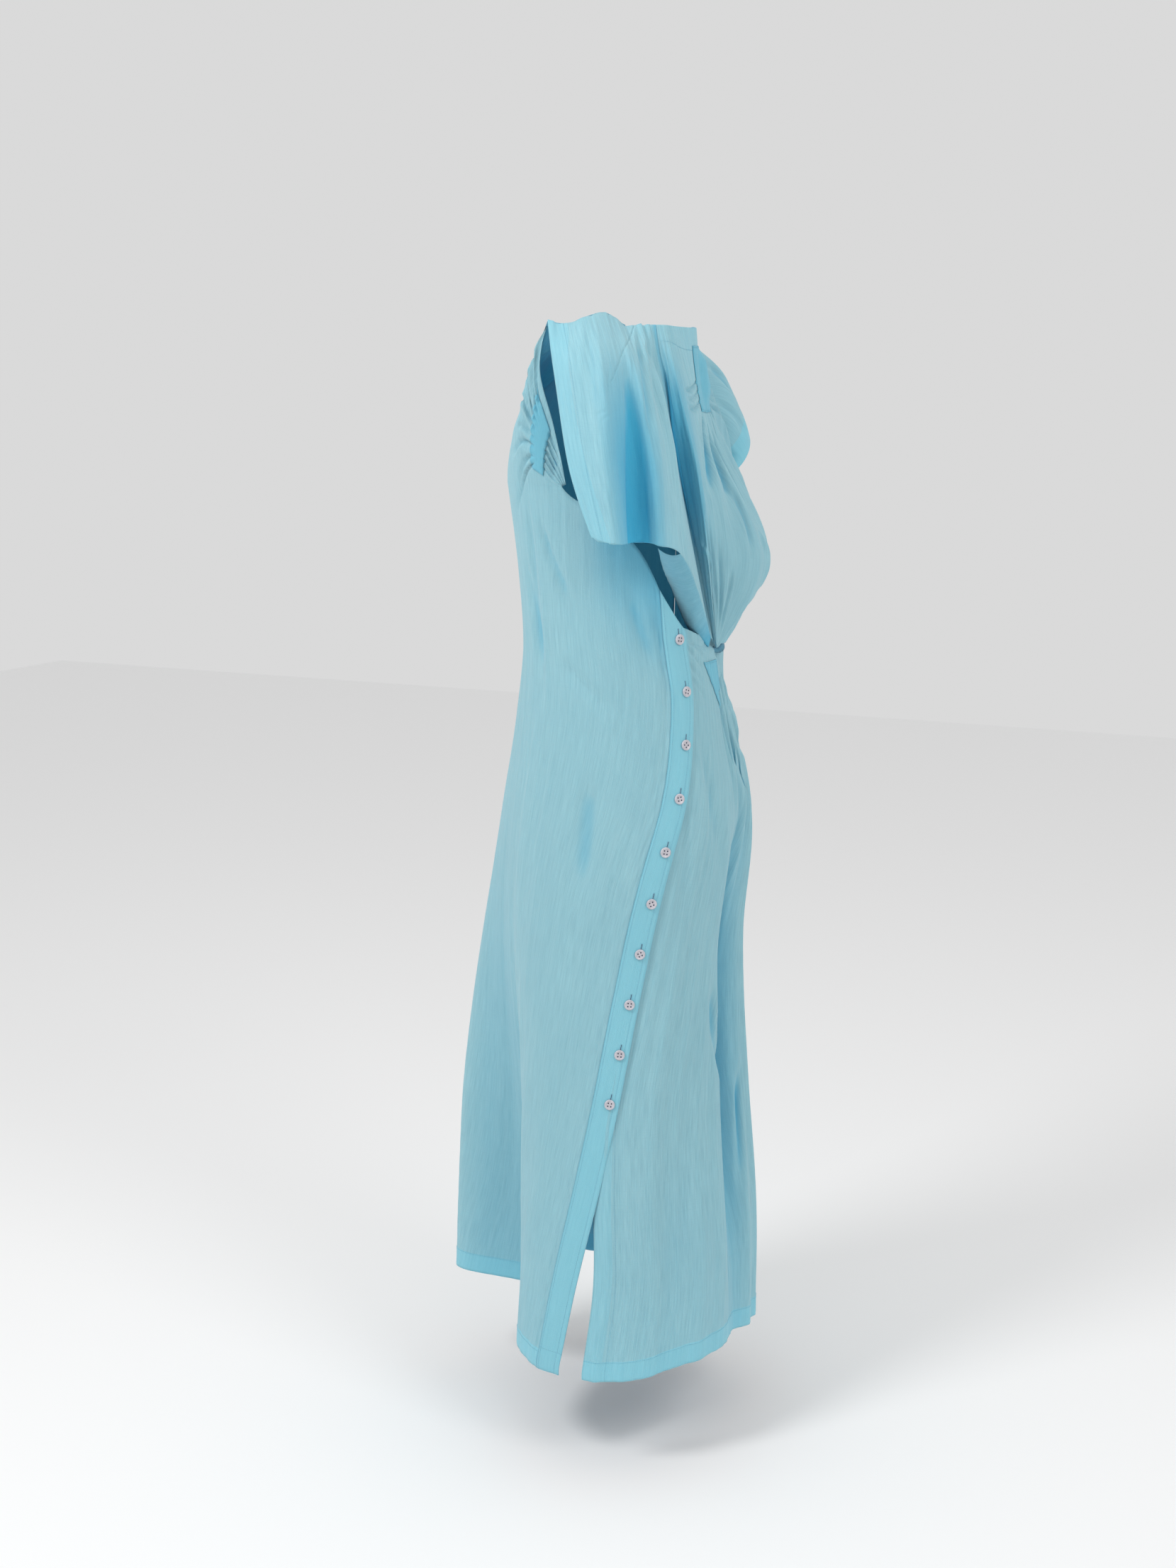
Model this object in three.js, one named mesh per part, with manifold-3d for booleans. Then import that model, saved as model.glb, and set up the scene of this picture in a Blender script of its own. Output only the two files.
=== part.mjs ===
// A long shirt dress in light blue cotton voile, hollow and in the pose in which it is worn.
// Millimetres, +Z up. The front faces -Y, the wearer's left is +X, and the origin is on the middle line
// of the body at the height of the shoulder seams. The floor would be 1485 mm below it.
import * as THREE from 'three';
import { mergeVertices } from 'three/addons/utils/BufferGeometryUtils.js';
import Module from 'manifold-3d';

// Driving dimensions. Bearings are in degrees round the body: 0 is the front, 90 the wearer's left.
const wall = 1.5;               // cloth wall
const stripWall = 1.0;          // bands and strips sewn on top
const seamGap = 0.4;            // between pieces sewn edge to edge
const seamDegrees = 0.16;       // the same gap, seen from the axis
const seamMeridian = 0.006;     // and half of it, in meridians of the back
const sleeveGap = 0.7;          // between the right sleeve and its armhole
const layGap = 0.45;            // under a piece that lies on another
const waistGap = 0.9;           // between the back skirt and the back bodice
const hemHeight = -1345;        // hem at the sides; hemRise holds how it rises and falls round the skirt
const armholeHeight = -200;     // underarm, where the bodice leaves the round sections
const backWaist = -407;         // foot of the back bodice
const backTopAtPlacket = -392;  // the back skirt's top under the first button
const waistSlope = 0.2;         // it falls to the foot of the bodice over this share of its width
const rightSeam = -88;          // bearing of the right side seam
const placketWidth = 35;
const crowdReach = 4;           // grid points closer than this have their normals evened out
const crowdRounds = 8;
const tuckGap = 1.2;            // the back skirt's edge lies this far under the buttoned edge
const tuckFade = 6;             // and comes level with it over these degrees
const buttonRadius = 6.75;
const buttonHeight = 2.6;
const buttonCount = 10;
const topButton = -388;
const buttonPitch = 65.6;
const buttonInset = 12.5;       // from the edge to a button's middle
const threadHole = { radius: 0.85, offset: 1.6 };

// Shares of the front's width and height, for its tables
const bodiceShare = 0.735;      // across: past it the front ends in its free edge under the arm
const placketShare = 0.95;      // across, at the placket's inner edge
const skirtShare = 0.86;        // up, at the underarm
const bodiceSlope = 2.2;        // how late the front leaves the round section for its top edge

const voile = { color: 0x8fcfe0, roughness: 0.85, metalness: 0 };
const doubledVoile = { color: 0x74c6dd, roughness: 0.85, metalness: 0 };
const shell = { color: 0xd9d6dc, roughness: 0.35, metalness: 0 };

const radians = THREE.MathUtils.degToRad;
const clamp = THREE.MathUtils.clamp;

function table(names, rows) {
  const keys = names.split(' ');
  return rows.map((row) => Object.fromEntries(keys.map((key, k) => [key, row[k]])));
}

// Reach of the skirt and bodice from the body's axis at eight bearings, one row for each height
const bodySections = table('z axisY front frontLeft left backLeft back backRight right frontRight', [
  [-1345, -50, 226, 128, 190, 222, 214, 226, 190, 180],
  [-1200, -45, 226, 131, 184, 215, 208, 220, 184, 174],
  [-1000, -38, 224, 141, 175, 198, 188, 200, 176, 165],
  [-800, -28, 208, 150, 168, 182, 172, 183, 168, 158],
  [-630, -15, 180, 152, 165, 175, 170, 176, 165, 155],
  [-500, -5, 154, 148, 156, 150, 132, 146, 158, 150],
  [-410, 0, 143, 146, 150, 134, 114, 128, 148, 146],
  [-310, 0, 150, 150, 148, 132, 110, 126, 153, 150],
  [-200, 0, 166, 160, 150, 134, 112, 128, 158, 162],
]);
const reachNames = ['front', 'frontLeft', 'left', 'backLeft', 'back', 'backRight', 'right', 'frontRight'];

// Hanging folds of the skirt: valleys that open from zTop to their full depth at zDeep
const skirtFolds = table('bearingTop bearingFoot zTop zDeep fade halfWidth depth lean', [
  [12, 30, -420, -1500, 0, 110, 90, -40],
  [184, 180, -560, -860, 0.8, 56, 75, 22],
  [200, 196, -440, -580, 0.7, 20, 14, 4],
  [148, 140, -850, -1150, 0.3, 60, 10, 0],
  [216, 214, -600, -950, 0.3, 45, 20, 0],
  [240, 240, -750, -1150, 0.2, 50, 20, 0],
  [270, 268, -650, -1100, 0.2, 50, 20, 0],
  [296, 297, -750, -1200, 0.2, 50, 20, 0],
  [328, 326, -700, -1150, 0.2, 50, 22, 0],
  [189, 188, -455, -540, 1, 11, 7, 0],
  [208, 207, -455, -560, 1, 12, 7, 0],
  [217, 218, -450, -530, 1, 12, 6, 0],
]);

// Height of the hem over hemHeight, round from the right side seam
const hemRise = table('bearing rise', [
  [-88, 0],
  [-40, 10],
  [5, 19],
  [30, 12],
  [60, -2],
  [105, -9],
  [125, -6],
  [150, 4],
  [165, 6],
  [185, -5],
  [205, -9],
  [235, -3],
  [272, 0],
]);

// Bearings of the buttoned edge of the front and of the back's edge that lies under it
const slitEdges = table('z front back', [
  [-1345, 99.5, 108.5],
  [-1230, 105, 111.5],
  [-1083, 113.5, 110],
  [-1000, 118, 110],
  [-833, 126, 118],
  [-650, 136, 128],
  [-588, 141.5, 133],
  [-520, 146, 137],
  [-455, 148, 139],
  [-385, 144, 136],
  [-200, 142, 134],
]);

// Top edge of the front by share of its width, from the right side seam: armhole, neckline, left armhole.
// Along the two shoulders it is sewn to the back's top edge.
const frontTop = table('share x y z', [
  [0, -158, -5.5, -197],
  [0.05, -169, -40, -160],
  [0.09, -170, -43, -85],
  [0.14, -163, 4, -18],
  [0.22, -105, 33, -3],
  [0.3, -60, -45, -40],
  [0.385, 0, -80, -56],
  [0.45, 50, -50, -40],
  [0.51, 90, 26, -5],
  [0.61, 186, -33, -2],
  [0.65, 172, -50, -60],
  [0.69, 160, -38, -125],
  [0.735, 148, -27, -197],
]);
const shoulderSeams = table('fromShare toShare fromMeridian toMeridian', [
  [0.14, 0.22, 12, 11],
  [0.51, 0.61, 4, 0],
]);
const freeEdge = table('share z', [
  [0.735, -200],
  [0.8, -245],
  [0.88, -300],
  [1, -378],
]);

// Back: meridians from the neckline to the foot, each through four points, numbered from the left
// sleeve's front edge to the right side seam
const meridianNames = 'x0 y0 z0 x1 y1 z1 x2 y2 z2 x3 y3 z3';
const backMeridians = table(meridianNames, [
  [186, -33, -2, 219, -9, -58, 252, 28, -177, 261, 60, -252],
  [171, -13, -5, 225, 26, -67, 254, 58, -176, 259, 78, -258],
  [148, 2, 4, 214, 50, -67, 242, 76, -176, 247, 91, -260],
  [116, 12, 9, 171, 59, -67, 190, 77, -178, 195, 84, -263],
  [90, 26, -5, 143, 71, -67, 177, 105, -178, 184, 113, -265],
  [74, 36, -4, 105, 70, -66, 132, 107, -179, 141, 123, -277],
  [64, 43, -4, 84, 67, -66, 101, 103, -193, 96, 126, -319],
  [54, 51, -4, 62, 69, -85, 52, 89, -204, 15, 115, -393],
  [39, 59, -4, 53, 87, -92, 66, 119, -212, 9, 118.5, -402],
  [10, 62, -5, 3, 88, -118, 34, 127, -266, 2, 117, -407],
  [-52, 62, -5, -60, 76, -127, -22, 166, -293, -15, 116, -407],
  [-105, 33, -3, -115, 65, -127, -98, 146, -290, -71, 101, -407],
  [-163, 4, -18, -161, 62, -128, -150, 95, -285, -122, 60, -407],
  [-166, 34, -106, -162, 52, -190, -152, 48, -310, -141, 29, -407],
  [-158, -5, -197, -155.5, -4.9, -260, -151.5, -4.8, -340, -148, -4.7, -407],
]).map((row, meridian) => ({ meridian, ...row }));
const meridianShares = [0, 0.35, 0.7, 1];
const meridianEnds = 0.15;      // how much more a meridian bends at its two ends
const sleeveMeridian = 7;       // the left sleeve ends in the deep valley along this meridian

// The back's lower left edge rolls under: where that under-fold ends, by meridian
const underFold = table('meridian x y z', [
  [5, 125, 86, -273],
  [5.5, 108, 87, -300],
  [6, 92, 87, -319],
  [6.5, 50, 95, -374],
  [7, 16, 108, -404],
]);
const underFoldBulge = new THREE.Vector3(10, 4, -10);

// Short right sleeve, from the armhole out
const sleeveRings = table('ring x y z halfWidth halfHeight lean', [
  [0, -174, 4, -112, 50, 90, 0],
  [1, -187, 9, -116, 50, 88, 4],
  [2, -201, 12, -130, 52, 78, 12],
  [3, -212, 16, -148, 56, 64, 24],
  [4, -218, 19, -162, 56, 54, 34],
]);

const sleeveJoin = 0.5;         // the first half of the sleeve turns from the armhole's shape to the rings

// Gathers each side of the strip on the front, which hold the fullness of the bodice. They fan out and die
// away over a share of the front's width, less on the armhole's side.
const frontGathers = {
  from: 0.885, to: 0.985, leftShare: 0.655, rightShare: 0.69,
  folds: 6, depth: 5, fan: 0.13, armholeFan: 0.05, spread: 0.9, start: 0.12, taper: 1.6,
};

// Folds of the back between the strip and the waist, each a valley along a line of meridians
const backFolds = table('meridianTop downTop meridianFoot downFoot halfWidth depth', [
  [9.5, 0.3, 8.7, 0.6, 0.34, 6],
  [9.9, 0.32, 9.5, 0.66, 0.3, 7],
  [10.3, 0.34, 10.3, 0.62, 0.3, 6],
  [10.8, 0.32, 11.2, 0.64, 0.34, 6],
  [11.2, 0.28, 12.2, 0.55, 0.4, 7],
  [9.6, 0.78, 9.5, 1, 0.4, 3],
  [10.4, 0.8, 10, 1, 0.3, 4],
  [11.3, 0.74, 10.3, 1, 0.42, 10],
  [12.4, 0.7, 11.4, 1, 0.4, 6],
]);
const backFoldEnds = { start: 0.03, full: 0.4, over: 0.25, foot: 0.85 };

// Strips of doubled cloth that hold the gathers: on the back skirt and, in meridians, on the back
const waistStripPlace = { columns: [0.14, 0.29], rows: [0.92, 0.985] };
const backStripPlace = { meridians: [9.6, 11], rows: [0.69, 0.93] };

function eased(low, high, value) {
  const t = clamp((value - low) / (high - low), 0, 1);
  return t * t * (3 - 2 * t);
}

// 1 in the middle, falling smoothly to 0 at 1 either side
function hump(value) {
  const t = clamp(value, -1, 1);
  return (1 - t * t) ** 2;
}

// Smooth curve through the rows of a table, by their key
function through(rows, key, field, at) {
  const last = rows.length - 1;
  const rising = rows[last][key] > rows[0][key];
  const row = (k) => rows[rising ? k : last - k];
  const value = clamp(at, row(0)[key], row(last)[key]);
  let k = 0;
  while (k < last - 1 && value > row(k + 1)[key]) k += 1;
  const slope = (n) => {
    const span = (m) => row(m + 1)[key] - row(m)[key];
    const rate = (m) => (row(m + 1)[field] - row(m)[field]) / span(m);
    if (n === 0) return rate(0);
    if (n === last) return rate(last - 1);
    return (rate(n - 1) * span(n) + rate(n) * span(n - 1)) / (span(n) + span(n - 1));
  };
  const width = row(k + 1)[key] - row(k)[key];
  const t = (value - row(k)[key]) / width;
  const square = t * t;
  const cube = square * t;
  return (2 * cube - 3 * square + 1) * row(k)[field] + (cube - 2 * square + t) * width * slope(k)
    + (3 * square - 2 * cube) * row(k + 1)[field] + (cube - square) * width * slope(k + 1);
}

const pointThrough = (rows, key, at) => new THREE.Vector3(
  through(rows, key, 'x', at), through(rows, key, 'y', at), through(rows, key, 'z', at));

const turned = (bearing) => ((bearing % 360) + 360) % 360;
const offBearing = (bearing, centre) => turned(bearing - centre + 180) - 180;

// Reach of the round section at a bearing: a closed smooth curve through its eight values
function sectionReach(bearing, z) {
  const step = turned(bearing) / 45;
  const k = Math.floor(step);
  const t = step - k;
  const [a, b, c, d] = [-1, 0, 1, 2].map((n) => through(bodySections, 'z', reachNames[(k + n + 8) % 8], z));
  return b + 0.5 * t * (c - a + t * (2 * a - 5 * b + 4 * c - d + t * (3 * (b - c) + d - a)));
}

// Outer face of the body at a bearing and height, moved in by its folds
function bodyPoint(bearing, z) {
  const reach = sectionReach(bearing, z);
  let inward = 0;
  let sideways = 0;
  for (const fold of skirtFolds) {
    const way = clamp((fold.zTop - z) / (fold.zTop - hemHeight), 0, 1);
    const centre = fold.bearingTop + (fold.bearingFoot - fold.bearingTop) * way;
    const across = radians(offBearing(bearing, centre)) * reach / fold.halfWidth;
    const fading = fold.zDeep > hemHeight ? eased(fold.zDeep, hemHeight, z) : 0;
    const grown = eased(fold.zTop, fold.zDeep, z) * (1 - fold.fade * fading) * hump(across);
    inward += fold.depth * grown;
    sideways += fold.lean * grown;
  }
  const angle = radians(bearing);
  const axisY = through(bodySections, 'z', 'axisY', z);
  return new THREE.Vector3(
    (reach - inward) * Math.sin(angle) + sideways * Math.cos(angle),
    axisY - (reach - inward) * Math.cos(angle) + sideways * Math.sin(angle),
    z,
  );
}

const hemAt = (bearing) => hemHeight + through(hemRise, 'bearing', 'rise', bearing);

// Bearing of a share of the front's width: the last of it is the placket, equally wide at every height
function frontBearing(across, z) {
  const edge = through(slitEdges, 'z', 'front', z);
  const inner = edge - THREE.MathUtils.radToDeg(placketWidth / sectionReach(edge, z));
  return across <= placketShare
    ? rightSeam + across / placketShare * (inner - rightSeam)
    : inner + (across - placketShare) / (1 - placketShare) * (edge - inner);
}

// Depth of the front's gathers: waves along the strip that fan out and die away from it
function gatherDepth(share, up) {
  const g = frontGathers;
  const away = share < g.leftShare ? (g.leftShare - share) / g.fan : (share - g.rightShare) / g.armholeFan;
  if (away <= 0 || away >= 1) return 0;
  const along = (up - (g.from + g.to) / 2) / (1 + g.spread * away) / (g.to - g.from);
  const wave = 0.5 - 0.5 * Math.cos(2 * Math.PI * g.folds * along);
  return g.depth * hump(along * g.taper) * eased(0, g.start, away) * (1 - away) * wave;
}

// Top edge of the front at a share of its width
function frontTopPoint(share) {
  const seam = shoulderSeams.find(({ fromShare, toShare }) => share >= fromShare && share <= toShare);
  if (!seam) return pointThrough(frontTop, 'share', share);
  const part = (share - seam.fromShare) / (seam.toShare - seam.fromShare);
  const point = backPoint(seam.fromMeridian + part * (seam.toMeridian - seam.fromMeridian), 0);
  point.y -= seamGap;
  return point;
}

// Front, skirt and bodice in one: across 0 at the right side seam to 1 at the buttoned edge, up 0 to 1
function frontPoint(across, up) {
  const onBodice = across <= bodiceShare;
  const hem = hemAt(frontBearing(across, hemHeight));
  const top = onBodice ? armholeHeight : through(freeEdge, 'share', 'z', across);
  const z = hem + (Math.min(top, armholeHeight) - hem) * clamp(up / skirtShare, 0, 1);
  const point = bodyPoint(frontBearing(across, z), z);
  if (onBodice && up > skirtShare) {
    const edge = frontTopPoint(across);
    const rise = (up - skirtShare) / (1 - skirtShare);
    point.x += (edge.x - point.x) * rise;
    point.y += (edge.y - point.y) * rise ** bodiceSlope;
    point.z += (edge.z - point.z) * rise;
    const axis = new THREE.Vector3(-point.x, -point.y, 0).normalize();
    point.addScaledVector(axis, gatherDepth(across, up));
  }
  return point;
}

const backSeam = 360 + rightSeam - seamDegrees;
const lastMeridian = backMeridians.length - 1;

// Back skirt: across 0 at the edge under the buttons to 1 at the right side seam
function backSkirtPoint(across, up) {
  const hem = hemAt(slitEdges[0].back + across * (backSeam - slitEdges[0].back));
  const top = backTopAtPlacket + (backWaist - waistGap - backTopAtPlacket) * eased(0, waistSlope, across);
  const z = hem + (top - hem) * up;
  const edge = through(slitEdges, 'z', 'back', z);
  const bearing = edge + across * (backSeam - edge);
  const tucked = eased(tuckFade, 0, bearing - through(slitEdges, 'z', 'front', z)) * (wall + tuckGap);
  const angle = radians(bearing);
  return bodyPoint(bearing, z).add(new THREE.Vector3(-Math.sin(angle), Math.cos(angle), 0).multiplyScalar(tucked));
}

// Back from neckline to foot: down 0 to 1 along a meridian
function backPoint(meridian, down) {
  const shares = meridianShares;
  const at = (n, axis) => through(backMeridians, 'meridian', `${axis}${n}`, meridian);
  let k = 0;
  while (k < 2 && down > shares[k + 1]) k += 1;
  const t = (down - shares[k]) / (shares[k + 1] - shares[k]);
  const curve = ['x', 'y', 'z'].map((axis) => {
    const value = [0, 1, 2, 3].map((n) => at(n, axis));
    const span = (n) => shares[n + 1] - shares[n];
    const rate = (n) => (value[n + 1] - value[n]) / span(n);
    const slope = [
      (1 + meridianEnds) * rate(0) - meridianEnds * rate(1),
      (rate(0) * span(1) + rate(1) * span(0)) / (span(0) + span(1)),
      (rate(1) * span(2) + rate(2) * span(1)) / (span(1) + span(2)),
      (1 + meridianEnds) * rate(2) - meridianEnds * rate(1),
    ];
    const square = t * t;
    const cube = square * t;
    return (2 * cube - 3 * square + 1) * value[k] + (cube - 2 * square + t) * span(k) * slope[k]
      + (3 * square - 2 * cube) * value[k + 1] + (cube - square) * span(k) * slope[k + 1];
  });
  return new THREE.Vector3(...curve);
}

// Under-fold of the lower left edge: under 0 at the fold to 1 at its free edge
function underFoldPoint(meridian, under) {
  const start = backPoint(meridian, 1);
  const end = pointThrough(underFold, 'meridian', meridian);
  const middle = start.clone().add(end).multiplyScalar(0.5).add(underFoldBulge);
  return start.multiplyScalar((1 - under) ** 2)
    .addScaledVector(middle, 2 * under * (1 - under))
    .addScaledVector(end, under * under);
}

// Edge of the right armhole: around 0 to 1 from the shoulder, down the back and up the front
function armholePoint(around) {
  const [seam] = shoulderSeams;
  const point = around < 0.5
    ? backPoint(seam.fromMeridian + 2 * around * (lastMeridian - seam.fromMeridian), 0)
    : frontTopPoint((2 * around - 1) * seam.fromShare);
  point.x -= sleeveGap;
  return point;
}

// Ring of the right sleeve before it is joined to the armhole
function sleeveRing(around, out) {
  const angle = around * 2 * Math.PI;
  const ring = (field) => through(sleeveRings, 'ring', field, out * (sleeveRings.length - 1));
  const lean = radians(ring('lean'));
  const upright = ring('halfHeight') * Math.cos(angle);
  return new THREE.Vector3(
    ring('x') - upright * Math.sin(lean),
    ring('y') + ring('halfWidth') * Math.sin(angle),
    ring('z') + upright * Math.cos(lean),
  );
}

// Right sleeve: around as the armhole, out 0 at the armhole to 1 at the opening
function rightSleevePoint(around, out) {
  const toArmhole = armholePoint(around).sub(sleeveRing(around, 0));
  return sleeveRing(around, out).addScaledVector(toArmhole, 1 - eased(0, sleeveJoin, out));
}

function gridOf(columns, rows, pointAt) {
  return columns.map((column) => rows.map((row) => pointAt(column, row)));
}

function evenly(from, to, count) {
  return Array.from({ length: count + 1 }, (_, k) => (k === count ? to : from + (to - from) * k / count));
}

// Outward normals at the points of a grid whose columns run to the wearer's left and rows run up
function gridNormals(points, closed) {
  const last = points.length - 1;
  return points.map((line, i) => line.map((point, j) => {
    const next = closed ? points[(i + 1) % points.length] : points[Math.min(i + 1, last)];
    const before = closed ? points[(i + last) % points.length] : points[Math.max(i - 1, 0)];
    const along = next[j].clone().sub(before[j]);
    const upward = line[Math.min(j + 1, line.length - 1)].clone().sub(line[Math.max(j - 1, 0)]);
    return along.cross(upward).normalize();
  }));
}

function movedOut(points, distance, normals = gridNormals(points, false)) {
  return points.map((line, i) => line.map((point, j) => point.clone().addScaledVector(normals[i][j], distance)));
}

// Moves the back's points in along valleys drawn over it from top to foot
function folded(points, columns, rows, folds) {
  const { start, full, over, foot } = backFoldEnds;
  const normals = gridNormals(points, false);
  return points.map((line, i) => line.map((point, j) => {
    const down = 1 - Math.max(rows[j], 0);
    let depth = 0;
    for (const fold of folds) {
      const way = (down - fold.downTop) / (fold.downFoot - fold.downTop);
      const centre = fold.meridianTop + (fold.meridianFoot - fold.meridianTop) * clamp(way, 0, 1);
      const ends = eased(start, full, way) * (fold.downFoot < 1 ? eased(1 + over, 1 - over, way) : 1);
      depth += fold.depth * ends * hump((columns[i] - centre) / fold.halfWidth);
    }
    const inward = normals[i][j].clone().negate();
    inward.z *= 1 - eased(foot, 1, down);
    return point.clone().addScaledVector(inward, depth);
  }));
}

// Where a grid's points crowd together, its normals are evened out so that the inner face can't cross itself
function evened(points, normals, reach, rounds, closed = false) {
  const last = points.length - 1;
  const wrapped = (i) => (closed ? (i + last + 1) % (last + 1) : clamp(i, 0, last));
  let current = normals;
  for (let round = 0; round < rounds; round += 1) {
    const before = current;
    current = before.map((line, i) => line.map((normal, j) => {
      const sum = normal.clone();
      for (const [di, dj] of [[-1, 0], [1, 0], [0, -1], [0, 1]]) {
        const m = wrapped(i + di);
        const n = clamp(j + dj, 0, line.length - 1);
        sum.addScaledVector(before[m][n], hump(points[i][j].distanceTo(points[m][n]) / reach));
      }
      return sum.normalize();
    }));
  }
  return current;
}

// Walls that are sewn edge to edge are both cut in one direction there
function cutAlong(normals, isSewn, direction) {
  normals.forEach((line, i) => line.forEach((normal, j) => {
    if (isSewn(i, j, line.length - 1)) normal.copy(direction);
  }));
  return normals;
}

const wallNormals = (points, closed = false) => (
  evened(points, gridNormals(points, closed), crowdReach, crowdRounds, closed));

const upright = new THREE.Vector3(0, 0, 1);
const sideways = new THREE.Vector3(Math.sin(radians(rightSeam)), -Math.cos(radians(rightSeam)), 0);

// A closed wall of cloth: the grid is its outer face, the inner face is moved in, and a rim joins them.
// Faces that lie opposite each other, in one wall or across a seam, are split along the same diagonal.
function clothWall(points, thickness, { closed = false, keeps = () => true, normals } = {}) {
  const outer = points;
  const inner = movedOut(points, -thickness, normals ?? gridNormals(points, closed));
  const columnCount = points.length;
  const rowCount = points[0].length;
  const cellColumns = closed ? columnCount : columnCount - 1;
  const kept = (i, j) => {
    const column = closed ? (i + cellColumns) % cellColumns : i;
    return column >= 0 && column < cellColumns && j >= 0 && j < rowCount - 1 && keeps(column, j);
  };
  const corner = (i, j, side) => side[i % columnCount][j];
  const triangles = [];
  const quad = (a, b, c, d) => triangles.push(a, b, c, a, c, d);
  for (let i = 0; i < cellColumns; i += 1) {
    for (let j = 0; j < rowCount - 1; j += 1) {
      if (!kept(i, j)) continue;
      const ring = [[i, j], [i + 1, j], [i + 1, j + 1], [i, j + 1]];
      const [a, b, c, d] = ring.map(([m, n]) => corner(m, n, outer));
      const [e, f, g, h] = ring.map(([m, n]) => corner(m, n, inner));
      quad(a, b, c, d);
      quad(e, h, g, f);
      const neighbours = [[i, j - 1], [i + 1, j], [i, j + 1], [i - 1, j]];
      const sides = [[a, b, f, e], [b, c, g, f], [c, d, h, g], [d, a, e, h]];
      neighbours.forEach(([m, n], side) => {
        if (kept(m, n)) return;
        const [p, q, qIn, pIn] = sides[side];
        if (side < 2) quad(p, pIn, qIn, q);
        else quad(pIn, qIn, q, p);
      });
    }
  }
  const geometry = new THREE.BufferGeometry().setFromPoints(triangles);
  const merged = mergeVertices(geometry, 1e-4);
  merged.computeVertexNormals();
  return merged;
}

const group = new THREE.Group();
function addPiece(name, geometry, finish) {
  const mesh = new THREE.Mesh(geometry, new THREE.MeshStandardMaterial({ ...finish, flatShading: true }));
  mesh.name = name;
  group.add(mesh);
  return mesh;
}

// One panel as solids that meet face to face at chosen rows, so that each of them is a simpler hollow
function addLevels(names, points, normals, { cuts, keeps = () => true }) {
  names.forEach((name, level) => {
    const [from, to] = cuts.slice(level, level + 2);
    const part = points.map((line) => line.slice(from, to + 1).map((point) => point.clone()));
    if (level) part.forEach(([first, next]) => first.lerp(next, seamGap / first.distanceTo(next)));
    addPiece(name, clothWall(part, wall, {
      normals: normals.map((line) => line.slice(from, to + 1)), keeps: (i, j) => keeps(i, from + j),
    }), voile);
  });
}

// Points laid over part of a grid: its own lines inside the range and the range's two ends, moved out
function laidOver(grid, columns, rows, [fromColumn, toColumn], [fromRow, toRow], distance) {
  const moved = movedOut(grid, distance);
  const within = (lines, from, to) => [from, ...lines.filter((line) => line > from && line < to), to];
  const place = (lines, value) => {
    let k = 0;
    while (k < lines.length - 2 && value > lines[k + 1]) k += 1;
    return [k, (value - lines[k]) / (lines[k + 1] - lines[k])];
  };
  return gridOf(within(columns, fromColumn, toColumn), within(rows, fromRow, toRow), (column, row) => {
    const [i, s] = place(columns, column);
    const [j, t] = place(rows, row);
    const low = moved[i][j].clone().lerp(moved[i + 1][j], s);
    return low.lerp(moved[i][j + 1].clone().lerp(moved[i + 1][j + 1], s), t);
  });
}

const layer = layGap + stripWall;

// Front, with columns closer over its large fold and the shoulders, where they meet those of the back
const [rightShoulder, leftShoulder] = shoulderSeams;
const { leftShare, rightShare, from: stripFoot, to: stripTop } = frontGathers;
const frontStops = table('share cells', [
  [rightShoulder.fromShare, 8],
  [rightShoulder.toShare, 4],
  [0.38, 3],
  [leftShoulder.fromShare, 5],
  [leftShoulder.toShare, 8],
  [leftShare, 2],
  [rightShare, 2],
  [bodiceShare, 2],
  [placketShare, 8],
  [1, 2],
]);
const frontColumns = frontStops.flatMap(({ share, cells }, k) => (
  evenly(k ? frontStops[k - 1].share : 0, share, cells).slice(k ? 1 : 0)));
const frontRows = [
  ...evenly(0, skirtShare, 20), (skirtShare + stripFoot) / 2,
  ...evenly(stripFoot, stripTop, 14), (1 + stripTop) / 2, 1,
];
const frontGrid = gridOf(frontColumns, frontRows, frontPoint);
const lastBodiceColumn = frontColumns.indexOf(bodiceShare);
const lastSkirtRow = frontRows.indexOf(skirtShare);
const frontNormals = cutAlong(wallNormals(frontGrid), (i) => i === 0, sideways);
cutAlong(frontNormals, (i, j, top) => j === top && shoulderSeams.some(({ fromShare, toShare }) => (
  frontColumns[i] >= fromShare && frontColumns[i] <= toShare)), upright);
const waistRows = 3;            // from the upper cut up to the underarm
const frontKeeps = (i, j) => i < lastBodiceColumn || j < lastSkirtRow;
addLevels(['front_skirt_low', 'front_skirt_high', 'front_bodice'], frontGrid, frontNormals, {
  cuts: [0, lastSkirtRow / 2, lastSkirtRow - waistRows, frontRows.length - 1],
  keeps: frontKeeps,
});

// Doubled band that carries the buttonholes, down the whole edge
const placketGrid = movedOut(frontGrid, layer)
  .filter((_, i) => frontColumns[i] >= placketShare)
  .map((line) => line.slice(0, lastSkirtRow + 1));
addPiece('placket_band', clothWall(placketGrid, stripWall), doubledVoile);

const frontStrip = laidOver(
  frontGrid, frontColumns, frontRows, [leftShare, rightShare], [stripFoot, stripTop], layer);
addPiece('front_stay_strip', clothWall(frontStrip, stripWall), doubledVoile);

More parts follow.
